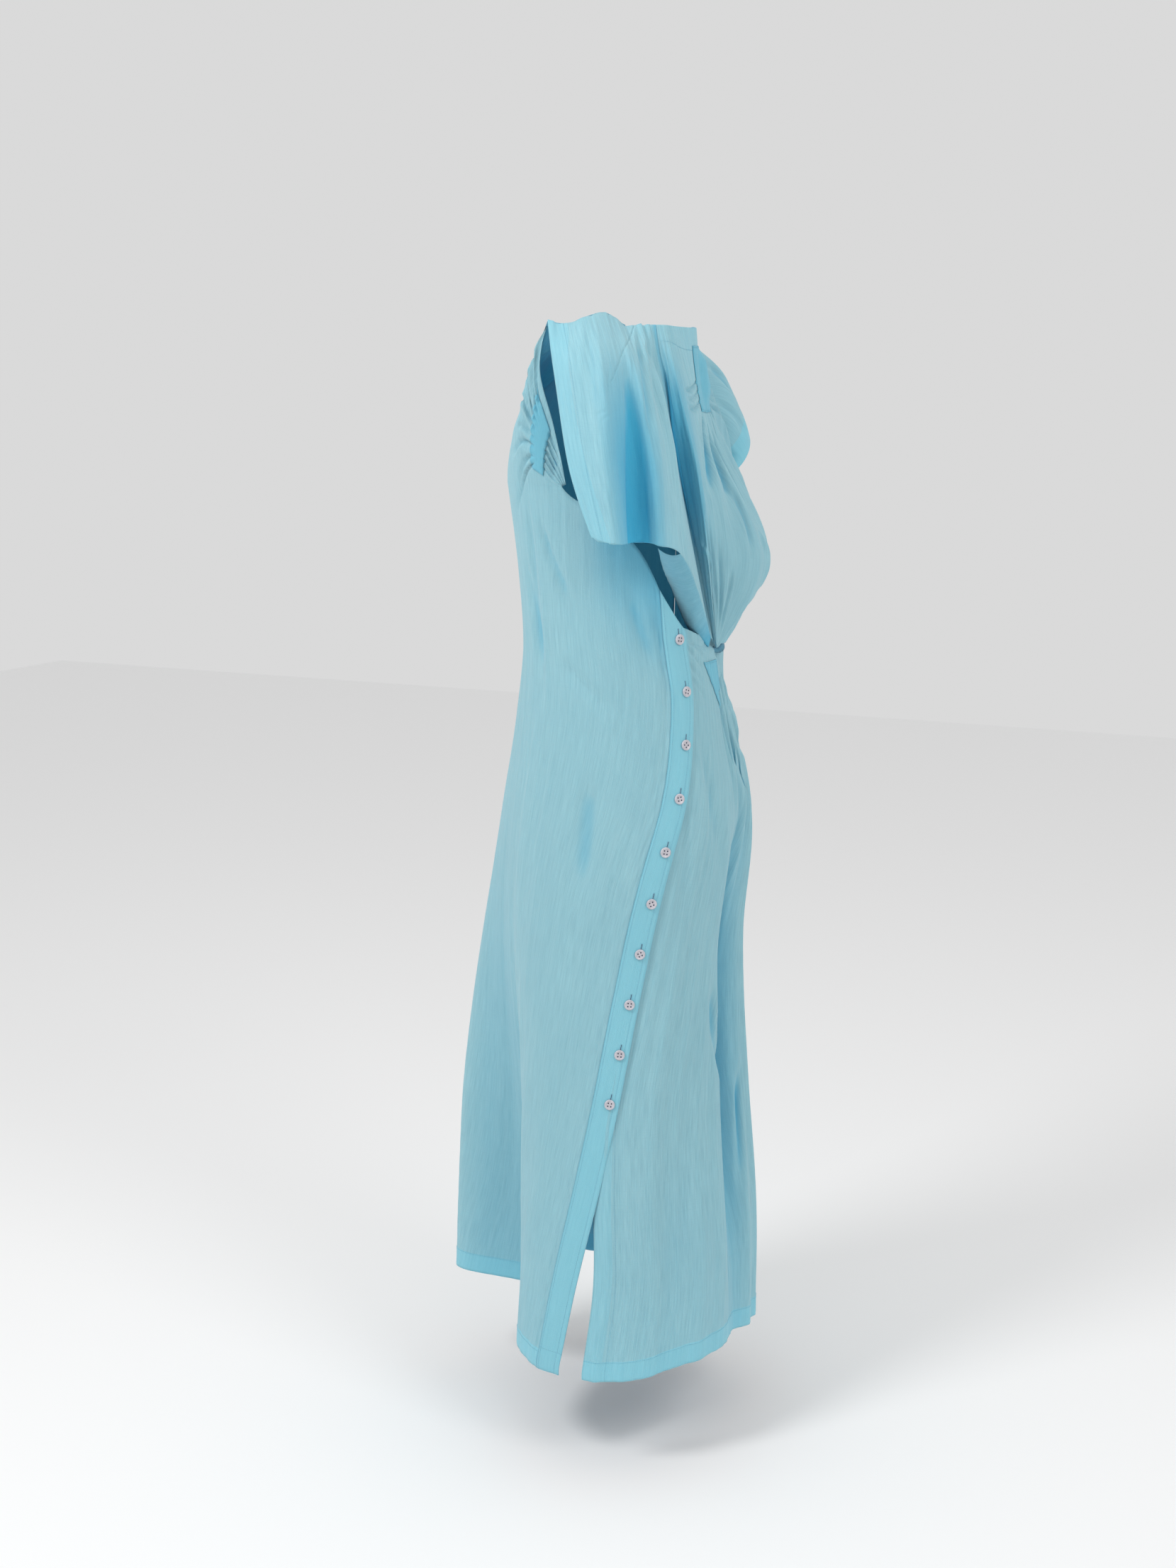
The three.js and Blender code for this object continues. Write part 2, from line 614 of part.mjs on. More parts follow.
// Back skirt
const backColumns = [...evenly(0, 0.28, 6), ...evenly(0.28, 0.62, 14).slice(1), ...evenly(0.62, 1, 7).slice(1)];
const backRows = evenly(0, 1, 24);
const backSkirtGrid = gridOf(backColumns, backRows, backSkirtPoint);
const backSkirtNormals = cutAlong(wallNormals(backSkirtGrid), (i) => i === backColumns.length - 1, sideways);
addLevels(['back_skirt_low', 'back_skirt_high'], backSkirtGrid, backSkirtNormals, {
  cuts: [0, (backRows.length - 1) / 2, backRows.length - 1],
});
const waistStrip = laidOver(
  backSkirtGrid, backColumns, backRows, waistStripPlace.columns, waistStripPlace.rows, layer);
addPiece('waist_stay_strip', clothWall(waistStrip, stripWall), doubledVoile);

// Left sleeve and back bodice share one grid and meet at a seam in the deep valley. The sleeve's lower
// edge rolls under from rollMeridian on.
const rollMeridian = underFold[0].meridian;
const sleeveLines = [
  ...evenly(0, leftShoulder.fromMeridian, 8), ...evenly(leftShoulder.fromMeridian, rollMeridian, 3).slice(1),
  ...evenly(rollMeridian, sleeveMeridian - seamMeridian, 8).slice(1),
];
const bodiceLines = [
  ...evenly(sleeveMeridian + seamMeridian, rightShoulder.toMeridian, 16),
  ...evenly(rightShoulder.toMeridian, lastMeridian, 12).slice(1),
];
const backLines = [...sleeveLines, ...bodiceLines];
const rollUps = evenly(-1, 0, 4).slice(0, -1);
const bodiceUps = evenly(0, 1, 20);
const backUps = [...rollUps, ...bodiceUps];
const backSmooth = gridOf(backLines, backUps, (meridian, up) => (
  up < 0 && meridian >= rollMeridian && meridian <= sleeveMeridian
    ? underFoldPoint(meridian, -up) : backPoint(meridian, 1 - Math.max(up, 0))));
const seamColumn = sleeveLines.length;
const sleeveGrid = backSmooth.slice(0, seamColumn);
const bodiceSmooth = backSmooth.slice(seamColumn).map((line) => line.slice(rollUps.length));
const bodiceGrid = folded(bodiceSmooth, bodiceLines, bodiceUps, backFolds);
const alongShoulder = (columns) => (i, j, top) => j === top && shoulderSeams.some((seam) => (
  columns[i] >= seam.toMeridian && columns[i] <= seam.fromMeridian));
const sleeveNormals = cutAlong(wallNormals(sleeveGrid), alongShoulder(sleeveLines), upright);
const bodiceNormals = cutAlong(wallNormals(bodiceGrid), alongShoulder(bodiceLines), upright);
cutAlong(bodiceNormals, (i) => i === bodiceLines.length - 1, sideways);
bodiceNormals[0].forEach((normal, j) => {
  const across = sleeveNormals[seamColumn - 1][j + rollUps.length];
  across.add(normal).normalize();
  normal.copy(across);
});
const sleeveKeeps = (i, j) => j >= rollUps.length || sleeveLines[i] >= rollMeridian;
addPiece('left_sleeve', clothWall(sleeveGrid, wall, { keeps: sleeveKeeps, normals: sleeveNormals }), voile);
addPiece('back_bodice', clothWall(bodiceGrid, wall, { normals: bodiceNormals }), voile);
const backStrip = laidOver(
  bodiceGrid, bodiceLines, bodiceUps, backStripPlace.meridians, backStripPlace.rows, layer);
addPiece('back_stay_strip', clothWall(backStrip, stripWall), doubledVoile);

// Right sleeve
const ringColumns = evenly(0, 1, 16).slice(0, -1).reverse();
const rightSleeveGrid = gridOf(ringColumns, evenly(0, 1, 6), (around, up) => rightSleevePoint(around, 1 - up));
addPiece('right_sleeve', clothWall(rightSleeveGrid, wall, {
  closed: true, normals: wallNormals(rightSleeveGrid, true),
}), voile);

// Buttons with a raised rim and four holes
const wasm = await Module();
wasm.setup();

function solidOf(geometry) {
  const bare = geometry.index ? geometry.toNonIndexed() : geometry.clone();
  bare.deleteAttribute('normal');
  bare.deleteAttribute('uv');
  const merged = mergeVertices(bare, 1e-4);
  return new wasm.Manifold(new wasm.Mesh({
    numProp: 3,
    vertProperties: Float32Array.from(merged.attributes.position.array),
    triVerts: Uint32Array.from(merged.index.array),
  }));
}

function geometryOf(solid) {
  const { numProp, vertProperties, triVerts } = solid.getMesh();
  const positions = [];
  for (const vertex of triVerts) positions.push(...vertProperties.slice(vertex * numProp, vertex * numProp + 3));
  const geometry = new THREE.BufferGeometry();
  geometry.setAttribute('position', new THREE.Float32BufferAttribute(positions, 3));
  return geometry;
}

const buttonProfile = [[0, 0], [0.9, 0], [1, 0.25], [1, 0.75], [0.92, 1], [0.74, 1], [0.66, 0.72], [0, 0.72]];

function buttonGeometry() {
  const outline = buttonProfile.map(([r, h]) => new THREE.Vector2(r * buttonRadius, h * buttonHeight));
  let solid = solidOf(new THREE.LatheGeometry(outline, 16));
  for (const [x, y] of [[1, 1], [-1, 1], [-1, -1], [1, -1]]) {
    const hole = new THREE.CylinderGeometry(threadHole.radius, threadHole.radius, 3 * buttonHeight, 6);
    hole.translate(x * threadHole.offset, 0, y * threadHole.offset);
    solid = solid.subtract(solidOf(hole));
  }
  return geometryOf(solid).rotateX(Math.PI / 2);
}

// Buttons down the placket, each seated on the band's outer face
const placketColumns = frontColumns.filter((share) => share >= placketShare);
const insetShare = 1 - (1 - placketShare) * buttonInset / placketWidth;
const insetColumn = placketColumns.findIndex((share) => share > insetShare) - 1;
const insetPart = (insetShare - placketColumns[insetColumn])
  / (placketColumns[insetColumn + 1] - placketColumns[insetColumn]);
const buttonLine = placketGrid[insetColumn].map((point, j) => (
  point.clone().lerp(placketGrid[insetColumn + 1][j], insetPart)));
const placketNormals = gridNormals(placketGrid, false);

for (let k = 0; k < buttonCount; k += 1) {
  const height = topButton - k * buttonPitch;
  const above = buttonLine.findIndex((point) => point.z > height);
  const part = (height - buttonLine[above - 1].z) / (buttonLine[above].z - buttonLine[above - 1].z);
  const normal = placketNormals[insetColumn][above - 1].clone().lerp(placketNormals[insetColumn + 1][above], 0.5);
  normal.normalize();
  const button = addPiece(`button_${k + 1}`, buttonGeometry(), shell);
  button.position.copy(buttonLine[above - 1]).lerp(buttonLine[above], part).addScaledVector(normal, layGap);
  button.quaternion.setFromUnitVectors(new THREE.Vector3(0, 0, 1), normal);
}

export default group;
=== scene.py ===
import math

import bpy
import numpy as np
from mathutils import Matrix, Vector


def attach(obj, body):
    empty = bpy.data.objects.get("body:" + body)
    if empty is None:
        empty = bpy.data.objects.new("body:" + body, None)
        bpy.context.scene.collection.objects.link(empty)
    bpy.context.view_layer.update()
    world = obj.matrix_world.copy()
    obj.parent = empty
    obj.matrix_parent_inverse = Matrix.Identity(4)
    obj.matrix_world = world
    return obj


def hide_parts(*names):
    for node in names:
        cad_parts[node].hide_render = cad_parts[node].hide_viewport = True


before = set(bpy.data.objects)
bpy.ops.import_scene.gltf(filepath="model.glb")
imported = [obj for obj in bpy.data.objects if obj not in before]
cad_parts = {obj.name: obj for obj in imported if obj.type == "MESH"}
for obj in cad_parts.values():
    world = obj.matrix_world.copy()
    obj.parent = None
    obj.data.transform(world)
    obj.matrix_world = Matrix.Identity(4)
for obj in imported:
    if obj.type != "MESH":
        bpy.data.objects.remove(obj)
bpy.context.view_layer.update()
print("frame loaded")

# Tables are in millimetres and degrees, and meshes in metres. The front faces -Y and the wearer's left
# is +X. A bearing runs round the body: 0 is the front, 90 the wearer's left and 180 the back.
mm = 0.001
hemHeight = -1345


def table(names, rows):
    # columns by name, from rows of numbers
    return dict(zip(names.split(), np.array(rows, float).T))


def eachRow(columns):
    # the rows of a table, each as a dictionary
    return [dict(zip(columns, row)) for row in zip(*columns.values())]


def nearest(values, value):
    # place in a list of the value that comes closest
    return int(np.argmin(abs(values - value)))


def unit(vectors):
    # the same directions, each of length one
    return vectors / np.maximum(np.linalg.norm(vectors, axis=-1, keepdims=True), 1e-9)


def eased(low, high, value):
    # smooth step: 3t^2 - 2t^3, with t the share of the way from low to high
    t = np.clip((value - low) / (high - low), 0, 1)
    return t * t * (3 - 2 * t)


def hump(value):
    # (1 - t^2)^2, so 1 in the middle and smoothly 0 from 1 on either side
    return (1 - np.clip(value, -1, 1) ** 2) ** 2


def hermite(t, start, end, slopeIn, slopeOut):
    # cubic through two values with a slope at each
    return ((2 * t - 3) * t * t + 1) * start + ((t - 2) * t + 1) * t * slopeIn \
        + (3 - 2 * t) * t * t * end + (t - 1) * t * t * slopeOut


def through(rows, key, field, at):
    # smooth curve through a table's rows; each slope weighs the rates on its two sides by their spans
    order = np.argsort(rows[key])
    x, y = rows[key][order], rows[field][order]
    at = np.clip(at, x[0], x[-1])
    span = np.diff(x)
    rate = np.diff(y) / span
    inner = (rate[:-1] * span[1:] + rate[1:] * span[:-1]) / (span[1:] + span[:-1])
    slope = np.concatenate([rate[:1], inner, rate[-1:]])
    k = np.clip(np.searchsorted(x, at, side="right") - 1, 0, len(x) - 2)
    return hermite((at - x[k]) / span[k], y[k], y[k + 1], span[k] * slope[k], span[k] * slope[k + 1])


# The body of the dress: reach from its axis at eight bearings, by height
bodySections = table("z axisY front frontLeft left backLeft back backRight right frontRight", [
    [-1345, -50, 226, 128, 190, 222, 214, 226, 190, 180],
    [-1200, -45, 226, 131, 184, 215, 208, 220, 184, 174],
    [-1000, -38, 224, 141, 175, 198, 188, 200, 176, 165],
    [-800, -28, 208, 150, 168, 182, 172, 183, 168, 158],
    [-630, -15, 180, 152, 165, 175, 170, 176, 165, 155],
    [-500, -5, 154, 148, 156, 150, 132, 146, 158, 150],
    [-410, 0, 143, 146, 150, 134, 114, 128, 148, 146],
    [-310, 0, 150, 150, 148, 132, 110, 126, 153, 150],
    [-200, 0, 166, 160, 150, 134, 112, 128, 158, 162],
])
reachNames = "front frontLeft left backLeft back backRight right frontRight".split()

# Hanging folds: valleys that open from zTop to their full depth at zDeep
skirtFolds = table("bearingTop bearingFoot zTop zDeep fade halfWidth depth lean", [
    [12, 30, -420, -1500, 0, 110, 90, -40],
    [184, 180, -560, -860, 0.8, 56, 75, 22],
    [200, 196, -440, -580, 0.7, 20, 14, 4],
    [148, 140, -850, -1150, 0.3, 60, 10, 0],
    [216, 214, -600, -950, 0.3, 45, 20, 0],
    [240, 240, -750, -1150, 0.2, 50, 20, 0],
    [270, 268, -650, -1100, 0.2, 50, 20, 0],
    [296, 297, -750, -1200, 0.2, 50, 20, 0],
    [328, 326, -700, -1150, 0.2, 50, 22, 0],
    [189, 188, -455, -540, 1, 11, 7, 0],
    [208, 207, -455, -560, 1, 12, 7, 0],
    [217, 218, -450, -530, 1, 12, 6, 0],
])
hemRise = table("bearing rise", [
    [-88, 0], [-40, 10], [5, 19], [30, 12], [60, -2], [105, -9], [125, -6], [150, 4], [165, 6], [185, -5],
    [205, -9], [235, -3], [272, 0],
])
slitEdges = table("z front back", [
    [-1345, 99.5, 108.5], [-1230, 105, 111.5], [-1083, 113.5, 110], [-1000, 118, 110], [-833, 126, 118],
    [-650, 136, 128], [-588, 141.5, 133], [-520, 146, 137], [-455, 148, 139], [-385, 144, 136],
    [-200, 142, 134],
])


def sectionReach(bearing, z):
    # closed smooth curve round the eight reaches of the section at z (Catmull-Rom in the bearing)
    reaches = np.stack([through(bodySections, "z", name, z) for name in reachNames])
    step = (bearing % 360) / 45
    k = np.floor(step).astype(int)
    t = step - k
    a, b, c, d = (np.take_along_axis(reaches, ((k + n) % 8)[None], 0)[0] for n in (-1, 0, 1, 2))
    return b + 0.5 * t * (c - a + t * (2 * a - 5 * b + 4 * c - d + t * (3 * (b - c) + d - a)))


def bodyPoint(bearing, z):
    # point at the section's reach along the bearing, moved in by each fold's hump and leant sideways
    bearing, z = np.broadcast_arrays(np.asarray(bearing, float), np.asarray(z, float))
    reach = sectionReach(bearing, z)
    inward, sideways = np.zeros_like(reach), np.zeros_like(reach)
    for fold in eachRow(skirtFolds):
        way = np.clip((fold["zTop"] - z) / (fold["zTop"] - hemHeight), 0, 1)
        centre = fold["bearingTop"] + (fold["bearingFoot"] - fold["bearingTop"]) * way
        across = np.radians((bearing - centre + 180) % 360 - 180) * reach / fold["halfWidth"]
        fading = eased(fold["zDeep"], hemHeight, z) if fold["zDeep"] > hemHeight else 0
        grown = eased(fold["zTop"], fold["zDeep"], z) * (1 - fold["fade"] * fading) * hump(across)
        inward += fold["depth"] * grown
        sideways += fold["lean"] * grown
    angle = np.radians(bearing)
    x = (reach - inward) * np.sin(angle) + sideways * np.cos(angle)
    y = through(bodySections, "z", "axisY", z) - (reach - inward) * np.cos(angle) + sideways * np.sin(angle)
    return np.stack([x, y, z], -1)


def hemAt(bearing):
    # the hem's height and its rise at the bearing
    return hemHeight + through(hemRise, "bearing", "rise", bearing)


# The back: meridians from the neckline to the foot, through four points each
backMeridians = table("x0 y0 z0 x1 y1 z1 x2 y2 z2 x3 y3 z3", [
    [186, -33, -2, 219, -9, -58, 252, 28, -177, 261, 60, -252],
    [171, -13, -5, 225, 26, -67, 254, 58, -176, 259, 78, -258],
    [148, 2, 4, 214, 50, -67, 242, 76, -176, 247, 91, -260],
    [116, 12, 9, 171, 59, -67, 190, 77, -178, 195, 84, -263],
    [90, 26, -5, 143, 71, -67, 177, 105, -178, 184, 113, -265],
    [74, 36, -4, 105, 70, -66, 132, 107, -179, 141, 123, -277],
    [64, 43, -4, 84, 67, -66, 101, 103, -193, 96, 126, -319],
    [54, 51, -4, 62, 69, -85, 52, 89, -204, 15, 115, -393],
    [39, 59, -4, 53, 87, -92, 66, 119, -212, 9, 118.5, -402],
    [10, 62, -5, 3, 88, -118, 34, 127, -266, 2, 117, -407],
    [-52, 62, -5, -60, 76, -127, -22, 166, -293, -15, 116, -407],
    [-105, 33, -3, -115, 65, -127, -98, 146, -290, -71, 101, -407],
    [-163, 4, -18, -161, 62, -128, -150, 95, -285, -122, 60, -407],
    [-166, 34, -106, -162, 52, -190, -152, 48, -310, -141, 29, -407],
    [-158, -5, -197, -155.5, -4.9, -260, -151.5, -4.8, -340, -148, -4.7, -407],
])
backMeridians["meridian"] = np.arange(15.0)
meridianShares = np.array([0, 0.35, 0.7, 1])
meridianEnds = 0.15
backFolds = table("meridianTop downTop meridianFoot downFoot halfWidth depth", [
    [9.5, 0.3, 8.7, 0.6, 0.34, 6],
    [9.9, 0.32, 9.5, 0.66, 0.3, 7],
    [10.3, 0.34, 10.3, 0.62, 0.3, 6],
    [10.8, 0.32, 11.2, 0.64, 0.34, 6],
    [11.2, 0.28, 12.2, 0.55, 0.4, 7],
    [9.6, 0.78, 9.5, 1, 0.4, 3],
    [10.4, 0.8, 10, 1, 0.3, 4],
    [11.3, 0.74, 10.3, 1, 0.42, 10],
    [12.4, 0.7, 11.4, 1, 0.4, 6],
])


def backPoint(meridian, down):
    # cubics through a meridian's four points, each coordinate of which runs smoothly from one to the next
    meridian, down = np.broadcast_arrays(np.asarray(meridian, float), np.asarray(down, float))
    k = np.clip(np.searchsorted(meridianShares, down, side="right") - 1, 0, 2)
    span = np.diff(meridianShares)
    t = (down - meridianShares[k]) / span[k]
    point = []
    for axis in "xyz":
        value = np.stack([through(backMeridians, "meridian", f"{axis}{n}", meridian) for n in range(4)])
        rate = np.diff(value, axis=0) / span.reshape(-1, *[1] * meridian.ndim)
        slope = np.stack([
            (1 + meridianEnds) * rate[0] - meridianEnds * rate[1],
            (rate[0] * span[1] + rate[1] * span[0]) / (span[0] + span[1]),
            (rate[1] * span[2] + rate[2] * span[1]) / (span[1] + span[2]),
            (1 + meridianEnds) * rate[2] - meridianEnds * rate[1],
        ])
        at = [np.take_along_axis(column, (k + n)[None], 0)[0] for n in (0, 1) for column in (value, slope)]
        point.append(hermite(t, at[0], at[2], span[k] * at[1], span[k] * at[3]))
    return np.stack(point, -1)


# Cloth: grids of points, their reliefs and their meshes
def gridNormals(points, closed=False):
    # cross product of the grid's two directions, of unit length and pointing out of the cloth
    if closed:
        along = np.roll(points, -1, 0) - np.roll(points, 1, 0)
    else:
        along = np.gradient(points, axis=0)
    return unit(np.cross(along, np.gradient(points, axis=1)))


def runLength(points, axis):
    # distance along the grid's lines from the first point
    step = np.linalg.norm(np.diff(points, axis=axis), axis=-1)
    return np.concatenate([np.zeros_like(np.take(step, [0], axis)), np.cumsum(step, axis)], axis)


def lines(*stops):
    # grid lines: (first value), then (value, cells up to it) for each stretch
    values = [np.array([stops[0]], float)]
    for value, cells in stops[1:]:
        values.append(np.linspace(values[-1][-1], value, cells + 1)[1:])
    return np.concatenate(values)


def creaseRelief(base, path, widths, depth, full):
    # depth times a hump of the distance to the path, which fades towards the ends of the path unless full
    widest = max(widths)
    near = np.all((base > path.min(0) - widest) & (base < path.max(0) + widest), axis=-1)
    leg = np.diff(path, axis=0)
    offset = base[near][:, None] - path[None, :-1]
    part = np.clip((offset * leg).sum(-1) / (leg ** 2).sum(-1), 0, 1)
    distance = np.linalg.norm(offset - part[..., None] * leg, axis=-1)
    closest = distance.argmin(1)
    along = (closest + np.take_along_axis(part, closest[:, None], 1)[:, 0]) / len(leg)
    width = widths[0] + (widths[1] - widths[0]) * along
    fade = (1 if full & 1 else eased(0, 0.3, along)) * (1 if full & 2 else eased(1, 0.6, along))
    relief = np.zeros(base.shape[:2])
    relief[near] = depth * hump(distance.min(1) / width) * fade
    return relief


def creased(base, surface, creases):
    # sum of the reliefs of a table of creases, each drawn on the surface as a curve through three places
    relief = np.zeros(base.shape[:2])
    a = np.linspace(0, 1, 13)
    for row in eachRow(creases):
        u, v = ((1 - a) ** 2 * row[f"{c}From"] + 2 * a * (1 - a) * row[f"{c}Via"] + a * a * row[f"{c}To"]
                for c in "uv")
        widths = row["widthFrom"], row["widthTo"]
        relief += creaseRelief(base, surface(u, v), widths, row["depth"], int(row["full"]))
    return relief


# three places of a crease, its half widths at both ends, and its depth; full is 1 where its first end keeps
# the whole depth, 2 where its last does and 3 where both do
creaseNames = "uFrom vFrom uVia vVia uTo vTo widthFrom widthTo depth full"


def wander(u, v, seed, across, along, count=9):
    # uneven soft waves: a sum of sines of random direction about the given wavelengths, from -1 to 1
    draw = np.random.default_rng(seed)
    total = np.zeros(np.broadcast(u, v).shape)
    for _ in range(count):
        stretch, slant, phase = draw.uniform(0.6, 1.6), draw.uniform(-1, 1), draw.uniform(0, 2 * np.pi)
        total = total + np.sin(2 * np.pi * (u / across * stretch + v / along * slant) + phase)
    return total / math.sqrt(count) / 1.4


def gridFaces(columns, rows, closed=False):
    # the four corners of each cell of a grid; a closed one runs on from its last column to its first
    corner = np.arange(columns * rows).reshape(columns, rows)
    following = np.roll(corner, -1, 0)
    quads = np.stack([corner[:, :-1], following[:, :-1], following[:, 1:], corner[:, 1:]], -1)
    return quads if closed else quads[:-1]


def buildPiece(name, points, faces, material, uvs=None, values=None, smooth=True):
    # a piece from arrays: points in mm, faces of four corners, uv maps for corners and values for points
    used, faces = np.unique(faces, return_inverse=True)
    faces = faces.reshape(-1, 4)
    mesh = bpy.data.meshes.new(name)
    mesh.vertices.add(len(used))
    mesh.vertices.foreach_set("co", (points.reshape(-1, 3)[used] * mm).astype(np.float32).ravel())
    mesh.loops.add(faces.size)
    mesh.loops.foreach_set("vertex_index", faces.astype(np.int32).ravel())
    mesh.polygons.add(len(faces))
    mesh.polygons.foreach_set("loop_start", np.arange(0, faces.size, 4, dtype=np.int32))
    mesh.polygons.foreach_set("use_smooth", np.full(len(faces), smooth))
    mesh.update(calc_edges=True)
    for label, uv in (uvs or {}).items():
        mesh.uv_layers.new(name=label).data.foreach_set("uv", uv.astype(np.float32).ravel())
    for label, value in (values or {}).items():
        attribute = mesh.attributes.new(label, "FLOAT", "POINT")
        attribute.data.foreach_set("value", value.ravel()[used].astype(np.float32))
    mesh.validate()
    mesh.materials.append(material)
    piece = bpy.data.objects.new(name, mesh)
    bpy.context.scene.collection.objects.link(piece)
    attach(piece, "root")
    return piece


def gridPiece(name, points, material, uv, edge, fold=0.0, keeps=True, closed=False, thickness=0.5):
    # cloth from a grid: four-cornered cells, kept or cut away, then given its thickness inwards
    quads = gridFaces(*points.shape[:2], closed)
    cells = len(quads)
    kept = np.broadcast_to(keeps, quads.shape[:2])

    def atCorners(field):
        after = field[1:cells + 1]
        corners = np.stack([field[:cells, :-1], after[:, :-1], after[:, 1:], field[:cells, 1:]], 2)
        return corners[kept] * mm

    uvs = {"cloth": atCorners(uv), "edge": atCorners(edge)}
    # fold: how much painted shade each point takes, kept as a value of the mesh
    values = {"fold": np.broadcast_to(fold, points.shape[:2])}
    piece = buildPiece(name, points, quads[kept], material, uvs, values)
    wall = piece.modifiers.new("thickness", "SOLIDIFY")
    wall.thickness = thickness * mm
    wall.offset = -1
    # the inner faces of plain voile take the copy with painted shade
    if material is voile:
        piece.data.materials.append(voileInsideShade)
        wall.material_offset = 1
    return piece


farOff = 500  # a distance to an edge that has no band


def edgesOf(points, foot=False, side=False):
    # each point's distances to the grid's foot and to its first side, or far off where there is no band
    return np.stack([runLength(points, axis) if banded else np.full(points.shape[:2], farOff)
                     for axis, banded in ((1, foot), (0, side))], -1)


# The front: skirt and bodice in one, from the right side seam to the buttoned edge
rightSeam = -88
bodiceShare, placketShare, skirtShare = 0.735, 0.95, 0.86
armholeHeight = -200
placketWidth = 35
frontTop = table("share x y z", [
    [0, -158, -5.5, -197], [0.05, -169, -40, -160], [0.09, -170, -43, -85], [0.14, -163, 4, -18],
    [0.22, -105, 33, -3], [0.3, -60, -45, -40], [0.385, 0, -80, -56], [0.45, 50, -50, -40],
    [0.51, 90, 26, -5], [0.61, 186, -33, -2], [0.65, 172, -50, -60], [0.69, 160, -38, -125],
    [0.735, 148, -27, -197],
])
shoulderSeams = [(0.14, 0.22, 12, 11), (0.51, 0.61, 4, 0)]  # the front's shares and the back's meridians
freeEdge = table("share z", [[0.735, -200], [0.8, -245], [0.88, -300], [1, -378]])
gathers = {
    "from": 0.885, "to": 0.985, "left": 0.655, "right": 0.69,
    "folds": 6, "depth": 5, "fan": 0.13, "armholeFan": 0.05, "spread": 0.9, "start": 0.12, "taper": 1.6,
}


def frontBearing(across, z):
    # even shares of the bearing up to the placket, which is equally wide at every height
    edge = through(slitEdges, "z", "front", z)
    inner = edge - np.degrees(placketWidth / sectionReach(edge, z))
    return np.where(
        across <= placketShare,
        rightSeam + across / placketShare * (inner - rightSeam),
        inner + (across - placketShare) / (1 - placketShare) * (edge - inner),
    )


def frontTopPoint(share):
    # the top edge runs through its table, and follows the back's top edge along the two shoulder seams
    point = np.stack([through(frontTop, "share", axis, share) for axis in "xyz"], -1)
    for fromShare, toShare, fromMeridian, toMeridian in shoulderSeams:
        part = (share - fromShare) / (toShare - fromShare)
        seam = backPoint(fromMeridian + np.clip(part, 0, 1) * (toMeridian - fromMeridian), 0)
        point = np.where(((part >= 0) & (part <= 1))[..., None], seam, point)
    return point


def gatherDepth(share, up):
    # cosine waves along the strip that fan out and die away from it
    g = gathers
    away = np.where(share < g["left"], (g["left"] - share) / g["fan"], (share - g["right"]) / g["armholeFan"])
    along = (up - (g["from"] + g["to"]) / 2) / (1 + g["spread"] * np.clip(away, 0, 1)) / (g["to"] - g["from"])
    wave = 0.5 - 0.5 * np.cos(2 * np.pi * g["folds"] * along)
    depth = g["depth"] * hump(along * g["taper"]) * eased(0, g["start"], away) * (1 - away) * wave
    return np.where((away > 0) & (away < 1), depth, 0)


def frontPoint(across, up):
    # skirt on the body's sections; above the underarm each column leaves them for its place on the top edge
    across, up = np.broadcast_arrays(np.asarray(across, float), np.asarray(up, float))
    onBodice = across <= bodiceShare + 1e-9
    hem = hemAt(frontBearing(across, np.full(across.shape, float(hemHeight))))
    top = np.where(onBodice, armholeHeight, through(freeEdge, "share", "z", across))
    z = hem + (np.minimum(top, armholeHeight) - hem) * np.clip(up / skirtShare, 0, 1)
    point = bodyPoint(frontBearing(across, z), z)
    edge = frontTopPoint(across)
    rise = np.where(onBodice, np.clip((up - skirtShare) / (1 - skirtShare), 0, 1), 0)
    share = np.stack([rise, rise ** 2.2, rise], -1)
    point = point + (edge - point) * share
    flat = point[..., :2] / np.maximum(np.linalg.norm(point[..., :2], axis=-1, keepdims=True), 1)
    point[..., :2] -= flat * (gatherDepth(across, up) * (rise > 0))[..., None]
    return point


# The back skirt, from the edge under the buttons to the right side seam
backSeam = 360 + rightSeam


def backSkirtPoint(across, up):
    # skirt on the body's sections, tucked under the buttoned edge where they lap
    across, up = np.broadcast_arrays(np.asarray(across, float), np.asarray(up, float))
    foot = slitEdges["back"][0]
    hem = hemAt(foot + across * (backSeam - foot))
    top = -392 - 16 * eased(0, 0.2, across)
    z = hem + (top - hem) * up
    edge = through(slitEdges, "z", "back", z)
    bearing = edge + across * (backSeam - edge)
    tucked = eased(6, 0, bearing - through(slitEdges, "z", "front", z)) * 2.7
    angle = np.radians(bearing)
    inward = np.stack([-np.sin(angle), np.cos(angle), np.zeros_like(angle)], -1)
    return bodyPoint(bearing, z) + inward * tucked[..., None]


# The lower left edge of the back rolls under
underFold = table("meridian x y z", [
    [5, 125, 86, -273], [5.5, 108, 87, -300], [6, 92, 87, -319], [6.5, 50, 95, -374], [7, 16, 108, -404],
])


def underFoldPoint(meridian, under):
    # quadratic curve from the fold to the free edge, through a point pushed out between them
    start = backPoint(meridian, np.ones_like(meridian))
    end = np.stack([through(underFold, "meridian", axis, meridian) for axis in "xyz"], -1)
    middle = (start + end) / 2 + np.array([10, 4, -10])
    u = under[..., None]
    return start * (1 - u) ** 2 + middle * 2 * u * (1 - u) + end * u * u


def sleeveBackPoint(meridian, up):
    # the back's meridians from the foot up, and the under-fold below 0
    meridian, up = np.broadcast_arrays(np.asarray(meridian, float), np.asarray(up, float))
    return np.where((up < 0)[..., None], underFoldPoint(meridian, np.clip(-up, 0, 1)),
                    backPoint(meridian, 1 - np.clip(up, 0, 1)))


